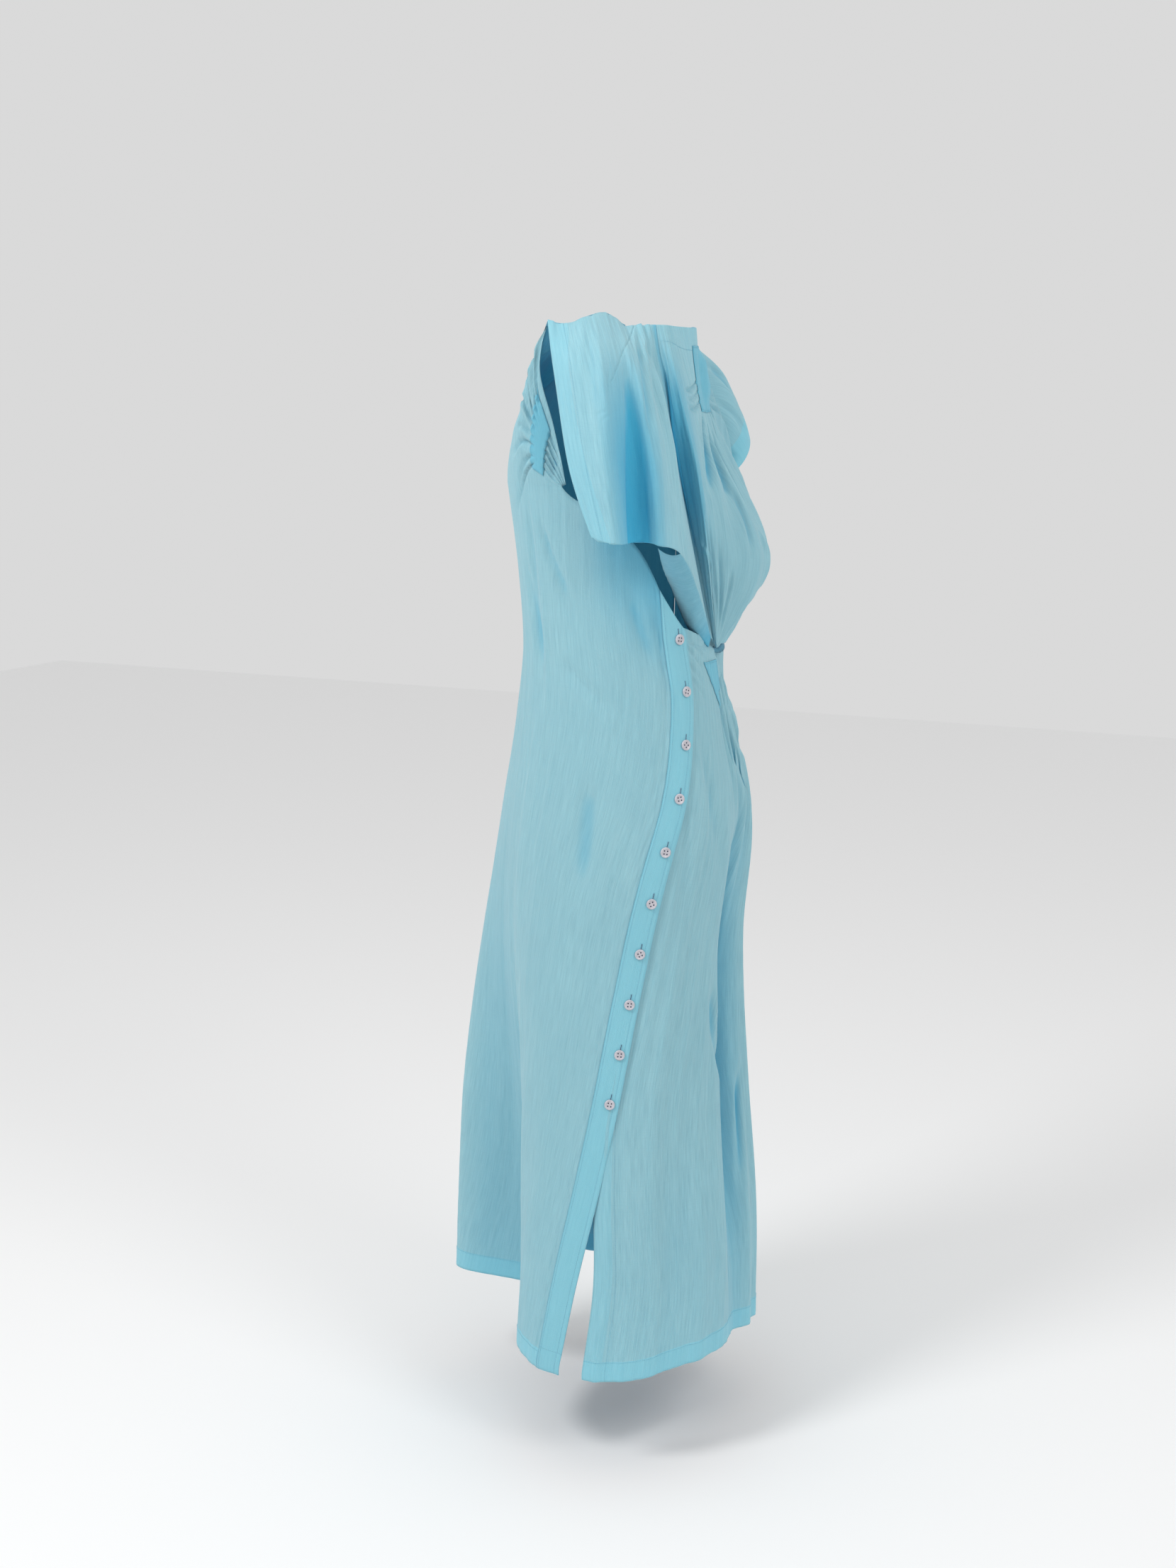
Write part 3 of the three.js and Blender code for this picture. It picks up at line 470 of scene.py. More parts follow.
def bodicePoint(meridian, up):
    # the back's meridians, moved in along its valleys
    meridian, up = np.broadcast_arrays(np.asarray(meridian, float), np.asarray(up, float))
    down = 1 - up
    point = backPoint(meridian, down)
    e = 1e-3
    along = backPoint(meridian + e, down) - backPoint(meridian - e, down)
    upward = backPoint(meridian, np.clip(down - e, 0, 1)) - backPoint(meridian, np.clip(down + e, 0, 1))
    inward = -unit(np.cross(along, upward))
    inward[..., 2] *= 1 - eased(0.85, 1, down)
    depth = np.zeros(down.shape)
    for fold in eachRow(backFolds):
        way = (down - fold["downTop"]) / (fold["downFoot"] - fold["downTop"])
        centre = fold["meridianTop"] + (fold["meridianFoot"] - fold["meridianTop"]) * np.clip(way, 0, 1)
        ends = eased(0.03, 0.4, way) * (eased(1.25, 0.75, way) if fold["downFoot"] < 1 else 1)
        depth += fold["depth"] * ends * hump((meridian - centre) / fold["halfWidth"])
    return point + inward * depth[..., None]


# The short right sleeve, from the armhole out
sleeveRings = table("ring x y z halfWidth halfHeight lean", [
    [0, -174, 4, -112, 50, 90, 0],
    [1, -187, 9, -116, 50, 88, 4],
    [2, -201, 12, -130, 52, 78, 12],
    [3, -212, 16, -148, 56, 64, 24],
    [4, -218, 19, -162, 56, 54, 34],
])


def sleeveRing(around, out):
    # an upright oval that leans outwards, with the sizes of the ring at that share of the way out
    angle = around * 2 * np.pi
    ring = {field: through(sleeveRings, "ring", field, out * 4) for field in sleeveRings}
    lean = np.radians(ring["lean"])
    upright = ring["halfHeight"] * np.cos(angle)
    return np.stack([
        ring["x"] - upright * np.sin(lean), ring["y"] + ring["halfWidth"] * np.sin(angle),
        ring["z"] + upright * np.cos(lean),
    ], -1)


def rightSleevePoint(around, up):
    # rings, which turn from the armhole's shape over the first half of the sleeve
    around, up = np.broadcast_arrays(np.asarray(around, float), np.asarray(up, float))
    out = 1 - up
    onBack = around < 0.5
    behind = backPoint(12 + 4 * np.where(onBack, around, 0), np.zeros(around.shape))
    ahead = frontTopPoint(np.where(onBack, 0, 2 * around - 1) * 0.14)
    armhole = np.where(onBack[..., None], behind, ahead)
    toArmhole = armhole - sleeveRing(around, np.zeros(out.shape))
    return sleeveRing(around, out) + toArmhole * (1 - eased(0, 0.5, out))[..., None]


# Materials
def linear(code):
    # sRGB hex to linear light
    channel = [int(code[k:k + 2], 16) / 255 for k in (0, 2, 4)]
    return [c / 12.92 if c <= 0.04045 else ((c + 0.055) / 1.055) ** 2.4 for c in channel] + [1]


def add(tree, kind, inputs=None, **settings):
    # a node with its settings, whose inputs are values or other nodes' outputs
    made = tree.nodes.new(kind)
    for name, value in settings.items():
        setattr(made, name, value)
    for name, value in (inputs or {}).items():
        if isinstance(value, bpy.types.NodeSocket):
            tree.links.new(value, made.inputs[name])
        else:
            made.inputs[name].default_value = value
    return made


def newMaterial(name):
    material = bpy.data.materials.new(name)
    material.use_nodes = True
    material.node_tree.nodes.clear()
    return material, material.node_tree


def finishMaterial(tree, settings):
    shader = add(tree, "ShaderNodeBsdfPrincipled", settings)
    output = tree.nodes.new("ShaderNodeOutputMaterial")
    tree.links.new(shader.outputs[0], output.inputs[0])


clothLook = {
    "lit": "92c3d0",        # one layer of voile
    "slub": "82b2c1",       # its thicker threads
    "pale": "a9d2dc",
    "doubled": "7fcae0",    # two layers, cleaner in colour
    "strip": "55b4d2",      # three layers
    "deep": "22a0c8",       # painted shade: the deeper, more saturated colour in the troughs of folds, standing in for light that has crossed the cloth again
    "inside": "1c84b0",     # painted shade: the deeper colour of the inner face, standing in for it being lit only through the cloth
}
clothGrains = {             # grains to the metre across and along the warp, and their detail
    "warp": (900, 26, 2),   # fine streaks 1.1 mm wide and 40 mm long
    "broad": (260, 6, 1),   # 4 mm wide and 170 mm long
    "weft": (22, 800, 2),   # 45 mm across and 1.3 mm along
    "cloud": (9, 5, 1),     # 110 mm by 200 mm
    "weave": (900, 900, 1),
}
clothTints = {              # values where a tint starts and is full, and how much of it shows there
    "warp": (0.36, 0.66, 0.8),
    "broad": (0.4, 0.7, 0.15),
    "weft": (0.55, 0.75, 0.3),
    "cloud": (0.35, 0.75, 0.3),
    "foot": (0.0279, 0.0275, 0.5),      # metres from the foot of the panel: its hem
    "side": (0.0254, 0.025, 0.25),      # and from its side
    # painted shade: the fold attribute deepens the colour in folds and hollows
    "fold": (0.0, 1.0, 0.85),
}


def clothMaterial(name, layers="", banded=True, inside=False):
    # Cotton voile, plain woven from fine uneven threads: matt, streaked along the warp and a little fuzzy.
    # Its thread pitch of 0.35 mm is too fine to show, so the weave is drawn at 1.1 mm.
    material, tree = newMaterial(name)
    cloth = add(tree, "ShaderNodeUVMap", uv_map="cloth").outputs["UV"]
    edge = add(tree, "ShaderNodeUVMap", uv_map="edge").outputs["UV"]
    # fold: how much painted shade each point takes
    fold = add(tree, "ShaderNodeAttribute", attribute_name="fold").outputs["Fac"]
    toFoot, toSide, _ = add(tree, "ShaderNodeSeparateXYZ", {0: edge}).outputs
    values = {"fold": fold, "foot": toFoot, "side": toSide}
    for kind, (across, along, detail) in clothGrains.items():
        grains = {0: cloth, 1: (across, along, 1)}
        place = add(tree, "ShaderNodeVectorMath", grains, operation="MULTIPLY").outputs[0]
        noise = add(tree, "ShaderNodeTexNoise", {0: place, "Scale": 1.0, "Detail": detail})
        values[kind] = noise.outputs[0]
    share = {}
    for kind, (low, high, most) in clothTints.items():
        ramp = add(tree, "ShaderNodeMapRange", {0: values[kind], 1: low, 2: high, 3: 0.0, 4: most})
        share[kind] = ramp.outputs[0]
    band = add(tree, "ShaderNodeMath", {0: share["foot"], 1: share["side"]}, operation="MAXIMUM").outputs[0]

    # each tint lies over the ones before it
    tints = [(share["warp"], "slub"), (share["broad"], "pale"), (share["weft"], "slub")]
    tints += [(share["cloud"], "slub")]
    tints += [(0.6, layers)] if layers else []
    tints += [(band, "doubled")] if banded else []
    # painted shade in the folds and hollows
    tints += [(share["fold"], "deep")]
    # painted shade over the whole inner face
    tints += [(0.6, "inside")] if inside else []
    colour = linear(clothLook["lit"])
    for part, over in tints:
        mix = add(tree, "ShaderNodeMix", {0: part, 6: colour, 7: linear(clothLook[over])}, data_type="RGBA")
        colour = mix.outputs[2]

    height = add(tree, "ShaderNodeMath", {0: values["warp"], 1: values["weave"]}, operation="ADD").outputs[0]
    bump = add(tree, "ShaderNodeBump", {"Strength": 0.4, "Distance": 0.0006, "Height": height}).outputs[0]
    finishMaterial(tree, {
        "Base Color": colour, "Roughness": 0.82, "Normal": bump, "Specular IOR Level": 0.25,
        "Sheen Weight": 0.12, "Sheen Roughness": 0.5,
        "Subsurface Weight": 0.3, "Subsurface Radius": (0.6, 1.0, 1.2), "Subsurface Scale": 0.003,
    })
    return material


def mottled(tree, scale, detail, high, one, other):
    # a colour that wanders between two, with so many grains to the metre, and the noise that moves it
    place = add(tree, "ShaderNodeTexCoord").outputs["Object"]
    noise = add(tree, "ShaderNodeTexNoise", {0: place, "Scale": scale, "Detail": detail}).outputs[0]
    share = add(tree, "ShaderNodeMapRange", {0: noise, 1: 0.35, 2: high}).outputs[0]
    colour = add(tree, "ShaderNodeMix", {0: share, 6: linear(one), 7: linear(other)}, data_type="RGBA")
    return colour.outputs[2], noise


def buttonMaterial(name, pale, deep):
    # Polyester cast to look like shell: pale grey with faint pinkish clouds of 4 mm and a soft gloss
    material, tree = newMaterial(name)
    colour, cloud = mottled(tree, 260.0, 2.0, 0.7, deep, pale)
    grain = add(tree, "ShaderNodeBump", {"Strength": 0.05, "Distance": 0.0002, "Height": cloud}).outputs[0]
    finishMaterial(tree, {"Base Color": colour, "Roughness": 0.3, "Normal": grain, "IOR": 1.55})
    return material


def threadMaterial(name, pale, deep):
    # Spun polyester sewing thread: matt, with painted light and shade of its 0.4 mm twist as a mottle of two
    # colours
    material, tree = newMaterial(name)
    finishMaterial(tree, {"Base Color": mottled(tree, 2500.0, 1.0, 0.65, pale, deep)[0], "Roughness": 0.7})
    return material


voile = clothMaterial("cotton_voile")
voileDoubled = clothMaterial("cotton_voile_doubled", layers="doubled", banded=False)
voileStrip = clothMaterial("cotton_voile_strip", layers="strip", banded=False)
# a copy of the voile with painted shade, for the inner faces
voileInsideShade = clothMaterial("cotton_voile_inside_painted_shade", inside=True)
shell = buttonMaterial("cast_polyester_shell", "c8c6cd", "b5b2b9")
navyThread = threadMaterial("navy_thread", "2b3550", "161d33")
blueThread = threadMaterial("blue_thread", "8fc3d4", "5d9fb8")
print("materials made")


# Panels
clothRelief = {
    "band": 0.4,            # how far a doubled edge stands up
    "hem": (28, 26.5),      # distances from the foot and the side at which it starts and stands fully
    "side": (25.5, 24),
    "creaseFrom": 3,        # depth from which a crease gets painted shade
    "creaseMore": 10,       # depth more at which its painted shade would be full
    "creaseMost": 0.8,
    "valleyFrom": 6,        # the same for the deep hanging folds
    "valleyMore": 40,
    "valleyTop": -430,      # height above which they take no painted shade
}


def clothUv(points):
    # one place across and one along for each grid line, so that the threads stay straight in the cloth
    return np.stack(np.broadcast_arrays(
        runLength(points, 0).mean(1)[:, None], runLength(points, 1).mean(0)[None]), -1)


def skirtValleyShade(points):
    # painted shade in the deep hanging folds: how far the cloth lies inside the plain section, as a share
    x, y, z = np.moveaxis(points, -1, 0)
    back = through(bodySections, "z", "axisY", z) - y
    inside = sectionReach(np.degrees(np.arctan2(x, back)), z) - np.hypot(x, back)
    share = np.clip((inside - clothRelief["valleyFrom"]) / clothRelief["valleyMore"], 0, 1)
    return share * (z < clothRelief["valleyTop"])


def panel(name, surface, cut, ripple, replaces, shade=lambda u, v: 0, keeps=True, closed=False):
    # a grid on the surface, moved along its normals by its creases, ripples and doubled edges
    u, v = cut["columns"][:, None], cut["rows"][None]
    base = surface(u, v)
    relief = creased(base, surface, table(creaseNames, cut["creases"])) + ripple(u, v)
    looped = np.concatenate([base, base[:1]]) if closed else base
    edge = edgesOf(looped, cut["foot"], cut["side"])
    hem, side = (eased(*clothRelief[way], edge[:len(base), :, k]) for k, way in enumerate(("hem", "side")))
    doubled = np.maximum(hem, side)
    cut["points"] = base + gridNormals(base, closed) * (relief + clothRelief["band"] * doubled)[..., None]
    # painted shade: the fold value, from the depth of the creases, the deep hanging folds and the panel's
    # shade function
    crease = (-relief - clothRelief["creaseFrom"]) / clothRelief["creaseMore"]
    fold = np.clip(crease, 0, clothRelief["creaseMost"]) + cut["valleyShade"] * skirtValleyShade(base) + shade(u, v)
    piece = gridPiece(name, cut["points"], voile, clothUv(looped), edge, np.clip(fold, 0, 1), keeps,
                      closed)
    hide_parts(*replaces)
    return piece


# gathers that fan out from the stay strip, as troughs, and puffs beside the armhole
frontFan = [[0.664, v, 0.628, 0.93 + (v - 0.94) * 1.35, 0.56 + 0.03 * (k % 2), 0.925 + (v - 0.94) * 2.1,
             2.2, 6 + k % 3, -5 + 1.2 * (k % 2), 1]
            for k, v in enumerate((0.893, 0.905, 0.919, 0.931, 0.944, 0.956, 0.968, 0.98))]
frontPuffs = [[0.69, v, 0.703, v + 0.002, 0.72, v + 0.004, 3.2, 4.5, -2.2, 1]
              for v in (0.9, 0.92, 0.94, 0.96, 0.978)]
frontCut = {
    "columns": lines(0, (0.14, 22), (0.22, 14), (0.38, 30), (0.51, 22), (0.61, 18), (0.655, 14), (0.69, 10),
                     (0.735, 12), (0.93, 36), (0.95, 8), (1, 8)),
    "rows": lines(0, (0.017, 5), (0.028, 12), (0.86, 124), (0.885, 6), (0.985, 44), (1, 5)),
    "foot": True, "side": False, "valleyShade": 0.15,
    "lift": 40,             # of the free edge under the arm
    "creases": frontFan + frontPuffs + [
        [0.80, 0.62, 0.82, 0.57, 0.85, 0.50, 16, 28, -6, 0],
        [0.865, 0.772, 0.848, 0.70, 0.833, 0.642, 3, 5, -1.4, 0],
        [0.87, 0.815, 0.90, 0.79, 0.93, 0.76, 12, 18, -5, 0],
        [0.93, 0.83, 0.945, 0.80, 0.95, 0.75, 8, 14, -3, 0],
        [0.60, 0.80, 0.62, 0.74, 0.66, 0.68, 10, 16, -4, 0],
        [0.66, 0.84, 0.70, 0.78, 0.78, 0.74, 8, 14, -5, 0],
        [0.70, 0.70, 0.76, 0.68, 0.86, 0.70, 8, 16, -3, 0],
        [0.63, 0.86, 0.64, 0.76, 0.65, 0.62, 8, 18, -4, 0],
        [0.72, 0.40, 0.73, 0.25, 0.735, 0.10, 10, 22, -3, 0],
        [0.30, 0.86, 0.31, 0.7, 0.33, 0.5, 12, 24, -5, 0],
        [0.44, 0.84, 0.43, 0.66, 0.41, 0.45, 12, 24, -5, 0],
        [0.20, 0.86, 0.18, 0.72, 0.17, 0.55, 10, 20, -4, 0],
    ],
}


def frontSurface(u, v):
    # the front with its free edge under the arm lifted: z + lift * eased(u) * eased(v)
    points = frontPoint(u, v)
    rise = eased(0.735, 0.86, u) * eased(1.0, 0.9, u) * eased(0.7, skirtShare, v) * (v < skirtShare + 1e-6)
    points[..., 2] += frontCut["lift"] * rise
    return points


def frontShade(u, v):
    # painted shade on the cloth in the shade of the sleeve, along the free edge
    return 0.65 * eased(0.74, 0.86, v) * eased(0.76, 0.86, u) * eased(1.0, 0.94, u) * (v < skirtShare + 1e-6)


def frontRipple(u, v):
    # soft waves that fade upwards, fine ones, and puckers along the placket's seam
    soft = wander(u, v, 11, 0.09, 2.2) * 1.6 * eased(0.75, 0.3, v)
    fine = wander(u, v, 12, 0.03, 0.6) * 0.35
    pucker = wander(u, v, 13, 0.02, 0.022, 9) * 1.0 * hump((u - 0.942) / 0.013) * (v < skirtShare)
    return soft + fine + pucker


lastBodice = nearest(frontCut["columns"], bodiceShare)
lastSkirt = nearest(frontCut["rows"], skirtShare)
onBodice = np.arange(len(frontCut["columns"]) - 1)[:, None] < lastBodice
frontPiece = panel("front_panel", frontSurface, frontCut, frontRipple,
                   ("front_skirt_low", "front_skirt_high", "front_bodice"), frontShade,
                   keeps=onBodice | (np.arange(len(frontCut["rows"]) - 1) < lastSkirt))
print("front made")

backCut = {
    "columns": lines(0, (0.28, 50), (0.62, 100), (1, 46)),
    "rows": lines(0, (0.02, 6), (0.033, 12), (0.8, 110), (1, 60), (1.03, 8)),
    "foot": True, "side": True, "valleyShade": 0.6,
    "tuck": 4.5, "above": 20,   # how far in, and up, the top edge runs on behind the bodice
    "creases": [
        [0.30, 0.94, 0.34, 0.87, 0.43, 0.70, 4, 14, -7, 1],
        [0.335, 0.955, 0.40, 0.86, 0.52, 0.70, 4, 14, -7, 1],
        [0.37, 0.97, 0.46, 0.87, 0.60, 0.72, 4, 13, -6, 1],
        [0.41, 0.98, 0.52, 0.89, 0.68, 0.76, 4, 12, -5, 1],
        [0.29, 0.92, 0.305, 0.86, 0.34, 0.74, 3, 12, -4, 1],
        [0.46, 1.01, 0.56, 0.955, 0.62, 0.90, 46, 42, -17, 1],
        [0.543, 0.40, 0.52, 0.30, 0.49, 0.18, 9, 14, -9, 0],
        [0.27, 0.56, 0.33, 0.42, 0.44, 0.30, 10, 20, -7, 0],
        [0.62, 0.45, 0.60, 0.3, 0.58, 0.12, 8, 14, -7, 0],
        [0.10, 0.90, 0.16, 0.80, 0.27, 0.68, 8, 20, -4, 0],
        [0.06, 0.80, 0.10, 0.70, 0.18, 0.58, 8, 20, -3, 0],
        [0.05, 1.0, 0.11, 0.985, 0.17, 0.975, 3, 4, -2.2, 1],
        [0.03, 0.985, 0.09, 0.965, 0.16, 0.955, 3, 5, -1.8, 1],
        [0.10, 1.01, 0.15, 0.998, 0.20, 0.99, 2.5, 4, -2, 1],
        [0.06, 0.96, 0.12, 0.945, 0.17, 0.93, 3, 5, -1.4, 1],
        [0.80, 0.98, 0.78, 0.85, 0.76, 0.7, 6, 14, -4, 1],
        [0.70, 0.98, 0.70, 0.85, 0.70, 0.7, 6, 14, -4, 1],
    ],
}


def backSurface(u, v):
    # the back skirt carried on above its top edge: z + above * share, and tuck * eased(share) inwards
    above = np.maximum(v - 1, 0) / 0.03
    points = backSkirtPoint(u, np.minimum(v, 1))
    bearing = np.arctan2(points[..., 0], -points[..., 1])
    inward = backCut["tuck"] * eased(0, 0.3, above)
    points[..., 0] -= np.sin(bearing) * inward
    points[..., 1] += np.cos(bearing) * inward
    points[..., 2] += above * backCut["above"] * eased(0.6, 0.42, u)
    return points


def backShade(u, v):
    # less painted shade: the broad dip below the waist takes none
    return -0.85 * hump((u - 0.55) / 0.2) * eased(0.84, 0.9, v)


def backRipple(u, v):
    # soft waves that fade upwards, and fine ones
    return wander(u, v, 21, 0.08, 2.2) * 2.2 * eased(0.95, 0.4, v) + wander(u, v, 22, 0.03, 0.6) * 0.4


backPiece = panel("back_skirt_panel", backSurface, backCut, backRipple, ("back_skirt_low", "back_skirt_high"),
                  backShade)
print("back skirt made")

sleeveCut = {
    "columns": lines(0, (4, 84), (5, 22), (7, 60)),
    "rows": lines(-1, (0, 26), (0.06, 8), (0.12, 12), (1, 130)),
    "foot": False, "side": True, "valleyShade": 0.0,
    "creases": [
        [6.9, 0.85, 6.92, 0.5, 6.9, 0.15, 9, 10, 4, 0],
        [3.4, 0.74, 3.3, 0.45, 3.2, 0.0, 12, 26, -7, 2],
        [4.65, 0.95, 4.3, 0.7, 3.9, 0.2, 5, 18, -6, 0],
        [5.5, 0.88, 5.0, 0.7, 4.8, 0.42, 5, 14, -5, 0],
        [5.0, 0.85, 5.3, 0.5, 5.35, 0.08, 12, 15, 6, 0],
        [6.3, 0.86, 6.1, 0.66, 6.2, 0.35, 6, 12, -4, 0],
        [1.5, 0.50, 1.9, 0.51, 2.3, 0.52, 2, 2.5, -1.1, 0],
        [1.7, 0.47, 2.0, 0.49, 2.3, 0.51, 2, 2.5, -0.8, 0],
        [2.4, 0.68, 2.3, 0.62, 2.2, 0.56, 2, 2.5, -1.1, 0],
        [4.6, 0.995, 3.3, 0.78, 2.4, 0.62, 1.3, 1.3, -1.2, 3],
        [2.0, 0.98, 1.6, 0.7, 1.4, 0.3, 9, 20, -4, 0],
        [0.9, 0.9, 0.8, 0.5, 0.7, 0.1, 8, 14, 2.5, 0],
    ],
}


def sleeveShade(u, v):
    # painted shade in the hollow above the hem, on the side of the deep valley and on the rolled edge
    hollow = 0.85 * eased(1.3, 2.9, u) * eased(4.8, 3.3, u) * eased(0.85, 0.3, v)
    return hollow + 0.5 * eased(6.4, 7, u) + 0.35 * (v < -0.02)


def sleeveRipple(u, v):
    # soft waves and fine ones
    return wander(u, v, 31, 1.1, 1.6) * 1.2 + wander(u, v, 32, 0.35, 0.3) * 0.3


rollsUnder = sleeveCut["columns"][:-1, None] > 5 - 1e-6
sleevePiece = panel("left_sleeve_panel", sleeveBackPoint, sleeveCut, sleeveRipple, ("left_sleeve",),
                    sleeveShade, keeps=rollsUnder | (sleeveCut["rows"][:-1] > -1e-6))
print("left sleeve made")

# gathers on both sides of the stay strip
stripFan = [[11.02, v, 11.5 + 0.1 * (k % 2), v - 0.03, 12.3, v - 0.075,
             2.4, 6 + k % 3, -5.5 + 1.2 * (k % 2), 1]
            for k, v in enumerate((0.72, 0.75, 0.78, 0.81, 0.84, 0.87, 0.9, 0.93))]
stripFan += [[9.58, v, 9.0, v - 0.035, 8.2, v - 0.09, 2.4, 7, -4.5 + (k % 2), 1]
             for k, v in enumerate((0.72, 0.755, 0.79))]
bodiceCut = {
    "columns": lines(6.9, (7.1, 8), (11, 124), (14, 70)),
    "rows": lines(0, (0.35, 90), (1, 110)),
    "foot": False, "side": False, "valleyShade": 0.0,
    # after them the gathers below the strip, and the pouch with its tip and wrinkles
    "creases": stripFan + [
        [10.3, 0.93, 10.5, 0.81, 10.6, 0.68, 24, 30, 10, 0],
        [7.05, 0.85, 7.08, 0.5, 7.02, 0.1, 12, 13, 7, 0],
        [9.75, 0.70, 9.4, 0.58, 9.0, 0.40, 4, 14, -10.2, 1],
        [10.1, 0.69, 9.95, 0.56, 9.6, 0.42, 3, 10, -8.5, 1],
        [10.45, 0.69, 10.4, 0.57, 10.2, 0.42, 3, 11, -10.2, 1],
        [10.8, 0.69, 10.9, 0.58, 10.85, 0.45, 3, 10, -8.5, 1],
        [11.0, 0.70, 11.4, 0.60, 11.7, 0.48, 3, 10, -8.5, 1],
        [7.45, 0.21, 7.9, 0.15, 9.0, 0.21, 4, 5, 3, 0],
        [8.3, 0.32, 8.5, 0.17, 8.95, 0.03, 4, 2.5, -4.4, 0],
        [8.7, 0.36, 8.8, 0.2, 9.05, 0.03, 4, 2.5, -4.4, 0],
        [9.05, 0.32, 9.15, 0.17, 9.2, 0.02, 3.5, 2.5, -4.1, 0],
        [9.35, 0.26, 9.4, 0.14, 9.3, 0.02, 4, 2.5, -4.1, 0],
        [10.4, 0.22, 10.6, 0.14, 10.5, 0.03, 22, 15, -13, 0],
        [10.1, 0.42, 10.55, 0.285, 10.3, 0.2, 12, 8, 4, 0],
        [9.8, 0.5, 9.9, 0.4, 9.7, 0.28, 5, 8, -5.1, 0],
        [12.4, 0.5, 12.2, 0.3, 11.8, 0.1, 8, 14, -8.5, 0],
        [13.2, 0.5, 13.0, 0.3, 12.8, 0.1, 8, 14, -8.5, 0],
    ],
}


def bodiceShade(u, v):
    # painted shade in the deep valley along the seam with the sleeve; the broad dip above the waist takes
    # none
    valley = 0.85 * eased(9.2, 7.2, u) * eased(0.95, 0.55, v) * eased(0.08, 0.3, v)
    return valley - 0.75 * hump((u - 10.5) / 1.2) * eased(0.3, 0.2, v)


def bodiceRipple(u, v):
    # soft and fine waves, and the edge that is tucked under the sleeve
    soft = wander(u, v, 41, 0.5, 0.9) * 0.9 * eased(1.02, 0.85, v)
    return soft + wander(u, v, 42, 0.2, 0.2) * 0.25 - 2.5 * eased(7.08, 6.96, u)


bodicePiece = panel("back_bodice_panel", bodicePoint, bodiceCut, bodiceRipple, ("back_bodice",), bodiceShade)
print("back bodice made")

cuffCut = {
    "columns": -np.arange(120) / 120.0,  # this way round the arm the faces point outwards
    "rows": lines(0, (1, 50)),
    "foot": True, "side": False, "valleyShade": 0.0,
    "creases": [
        [0.10, 0.85, 0.13, 0.6, 0.15, 0.42, 12, 10, -6, 0],
        [0.22, 0.9, 0.24, 0.6, 0.23, 0.2, 5, 8, -4, 0],
        [0.32, 0.9, 0.33, 0.6, 0.34, 0.2, 5, 8, -4, 0],
        [0.92, 0.9, 0.93, 0.5, 0.95, 0.1, 6, 10, -4, 0],
    ],
}


def cuffRipple(u, v):
    # soft waves
    return wander(u, v, 51, 0.25, 0.8) * 0.8


cuffPiece = panel("right_sleeve_panel", lambda u, v: rightSleevePoint(np.mod(u, 1), v), cuffCut, cuffRipple,
                  ("right_sleeve",), closed=True)
print("right sleeve made")


# Doubled bands and strips lie on the panels: shares or meridians across, rows along, cells and lift in mm
placket = {"across": (placketShare, 1), "along": (0, skirtShare), "cells": (10, 260), "lift": 0.9}
frontStay = {
    "across": (gathers["left"], gathers["right"]), "along": (gathers["from"], gathers["to"]),
    "cells": (14, 40), "lift": 1.2,
}
waistStay = {
    "across": (0.165, 0.31), "along": (0.918, 0.985), "cells": (40, 24), "lift": 1.2, "narrowing": 0.85,
}
backStay = {"across": (9.6, 11), "along": (0.69, 0.93), "cells": (30, 40), "lift": 1.2}


def laidOn(cut, band):
    # points of the panel's surface between two columns and two rows, moved off it along its normals
    cross = np.linspace(*band["across"], band["cells"][0] + 1)
    run = np.linspace(*band["along"], band["cells"][1] + 1)
    columns, rows, grid = cut["columns"], cut["rows"], cut["points"]
    i = np.clip(np.searchsorted(columns, cross, side="right") - 1, 0, len(columns) - 2)
    j = np.clip(np.searchsorted(rows, run, side="right") - 1, 0, len(rows) - 2)
    s = ((cross - columns[i]) / (columns[i + 1] - columns[i]))[:, None, None]
    t = ((run - rows[j]) / (rows[j + 1] - rows[j]))[None, :, None]
    low = grid[i][:, j] * (1 - s) + grid[i + 1][:, j] * s
    high = grid[i][:, j + 1] * (1 - s) + grid[i + 1][:, j + 1] * s
    laid = low * (1 - t) + high * t
    return laid + gridNormals(laid) * band["lift"]


def tapered(points, narrowing):
    # each row keeps a share of its width that grows from 1 - narrowing at the foot to 1 at the top
    last = points.shape[0] - 1
    left = narrowing * np.linspace(1, 0, points.shape[1])[None]
    at = (left + (1 - left) * np.linspace(0, 1, last + 1)[:, None]) * last
    low = np.clip(at.astype(int), 0, last - 1)
    part = (at - low)[..., None]
    row = np.arange(points.shape[1])[None]
    return points[low, row] * (1 - part) + points[low + 1, row] * part


def strip(name, points, node, material=voileStrip):
    # doubled cloth without a band, a little thicker than one layer
    piece = gridPiece(name, points, material, clothUv(points), edgesOf(points),
                      thickness=0.6)
    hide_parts(node)
    return piece


placketPoints = laidOn(frontCut, placket)
placketPiece = strip("placket", placketPoints, "placket_band", voileDoubled)
frontStayPoints = laidOn(frontCut, frontStay)
frontStripPiece = strip("front_strip", frontStayPoints, "front_stay_strip")
waistStayPoints = tapered(laidOn(backCut, waistStay), waistStay["narrowing"])
waistStripPiece = strip("waist_strip", waistStayPoints, "waist_stay_strip")
backStayPoints = laidOn(bodiceCut, backStay)
backStripPiece = strip("back_strip", backStayPoints, "back_stay_strip")
print("bands and strips made")


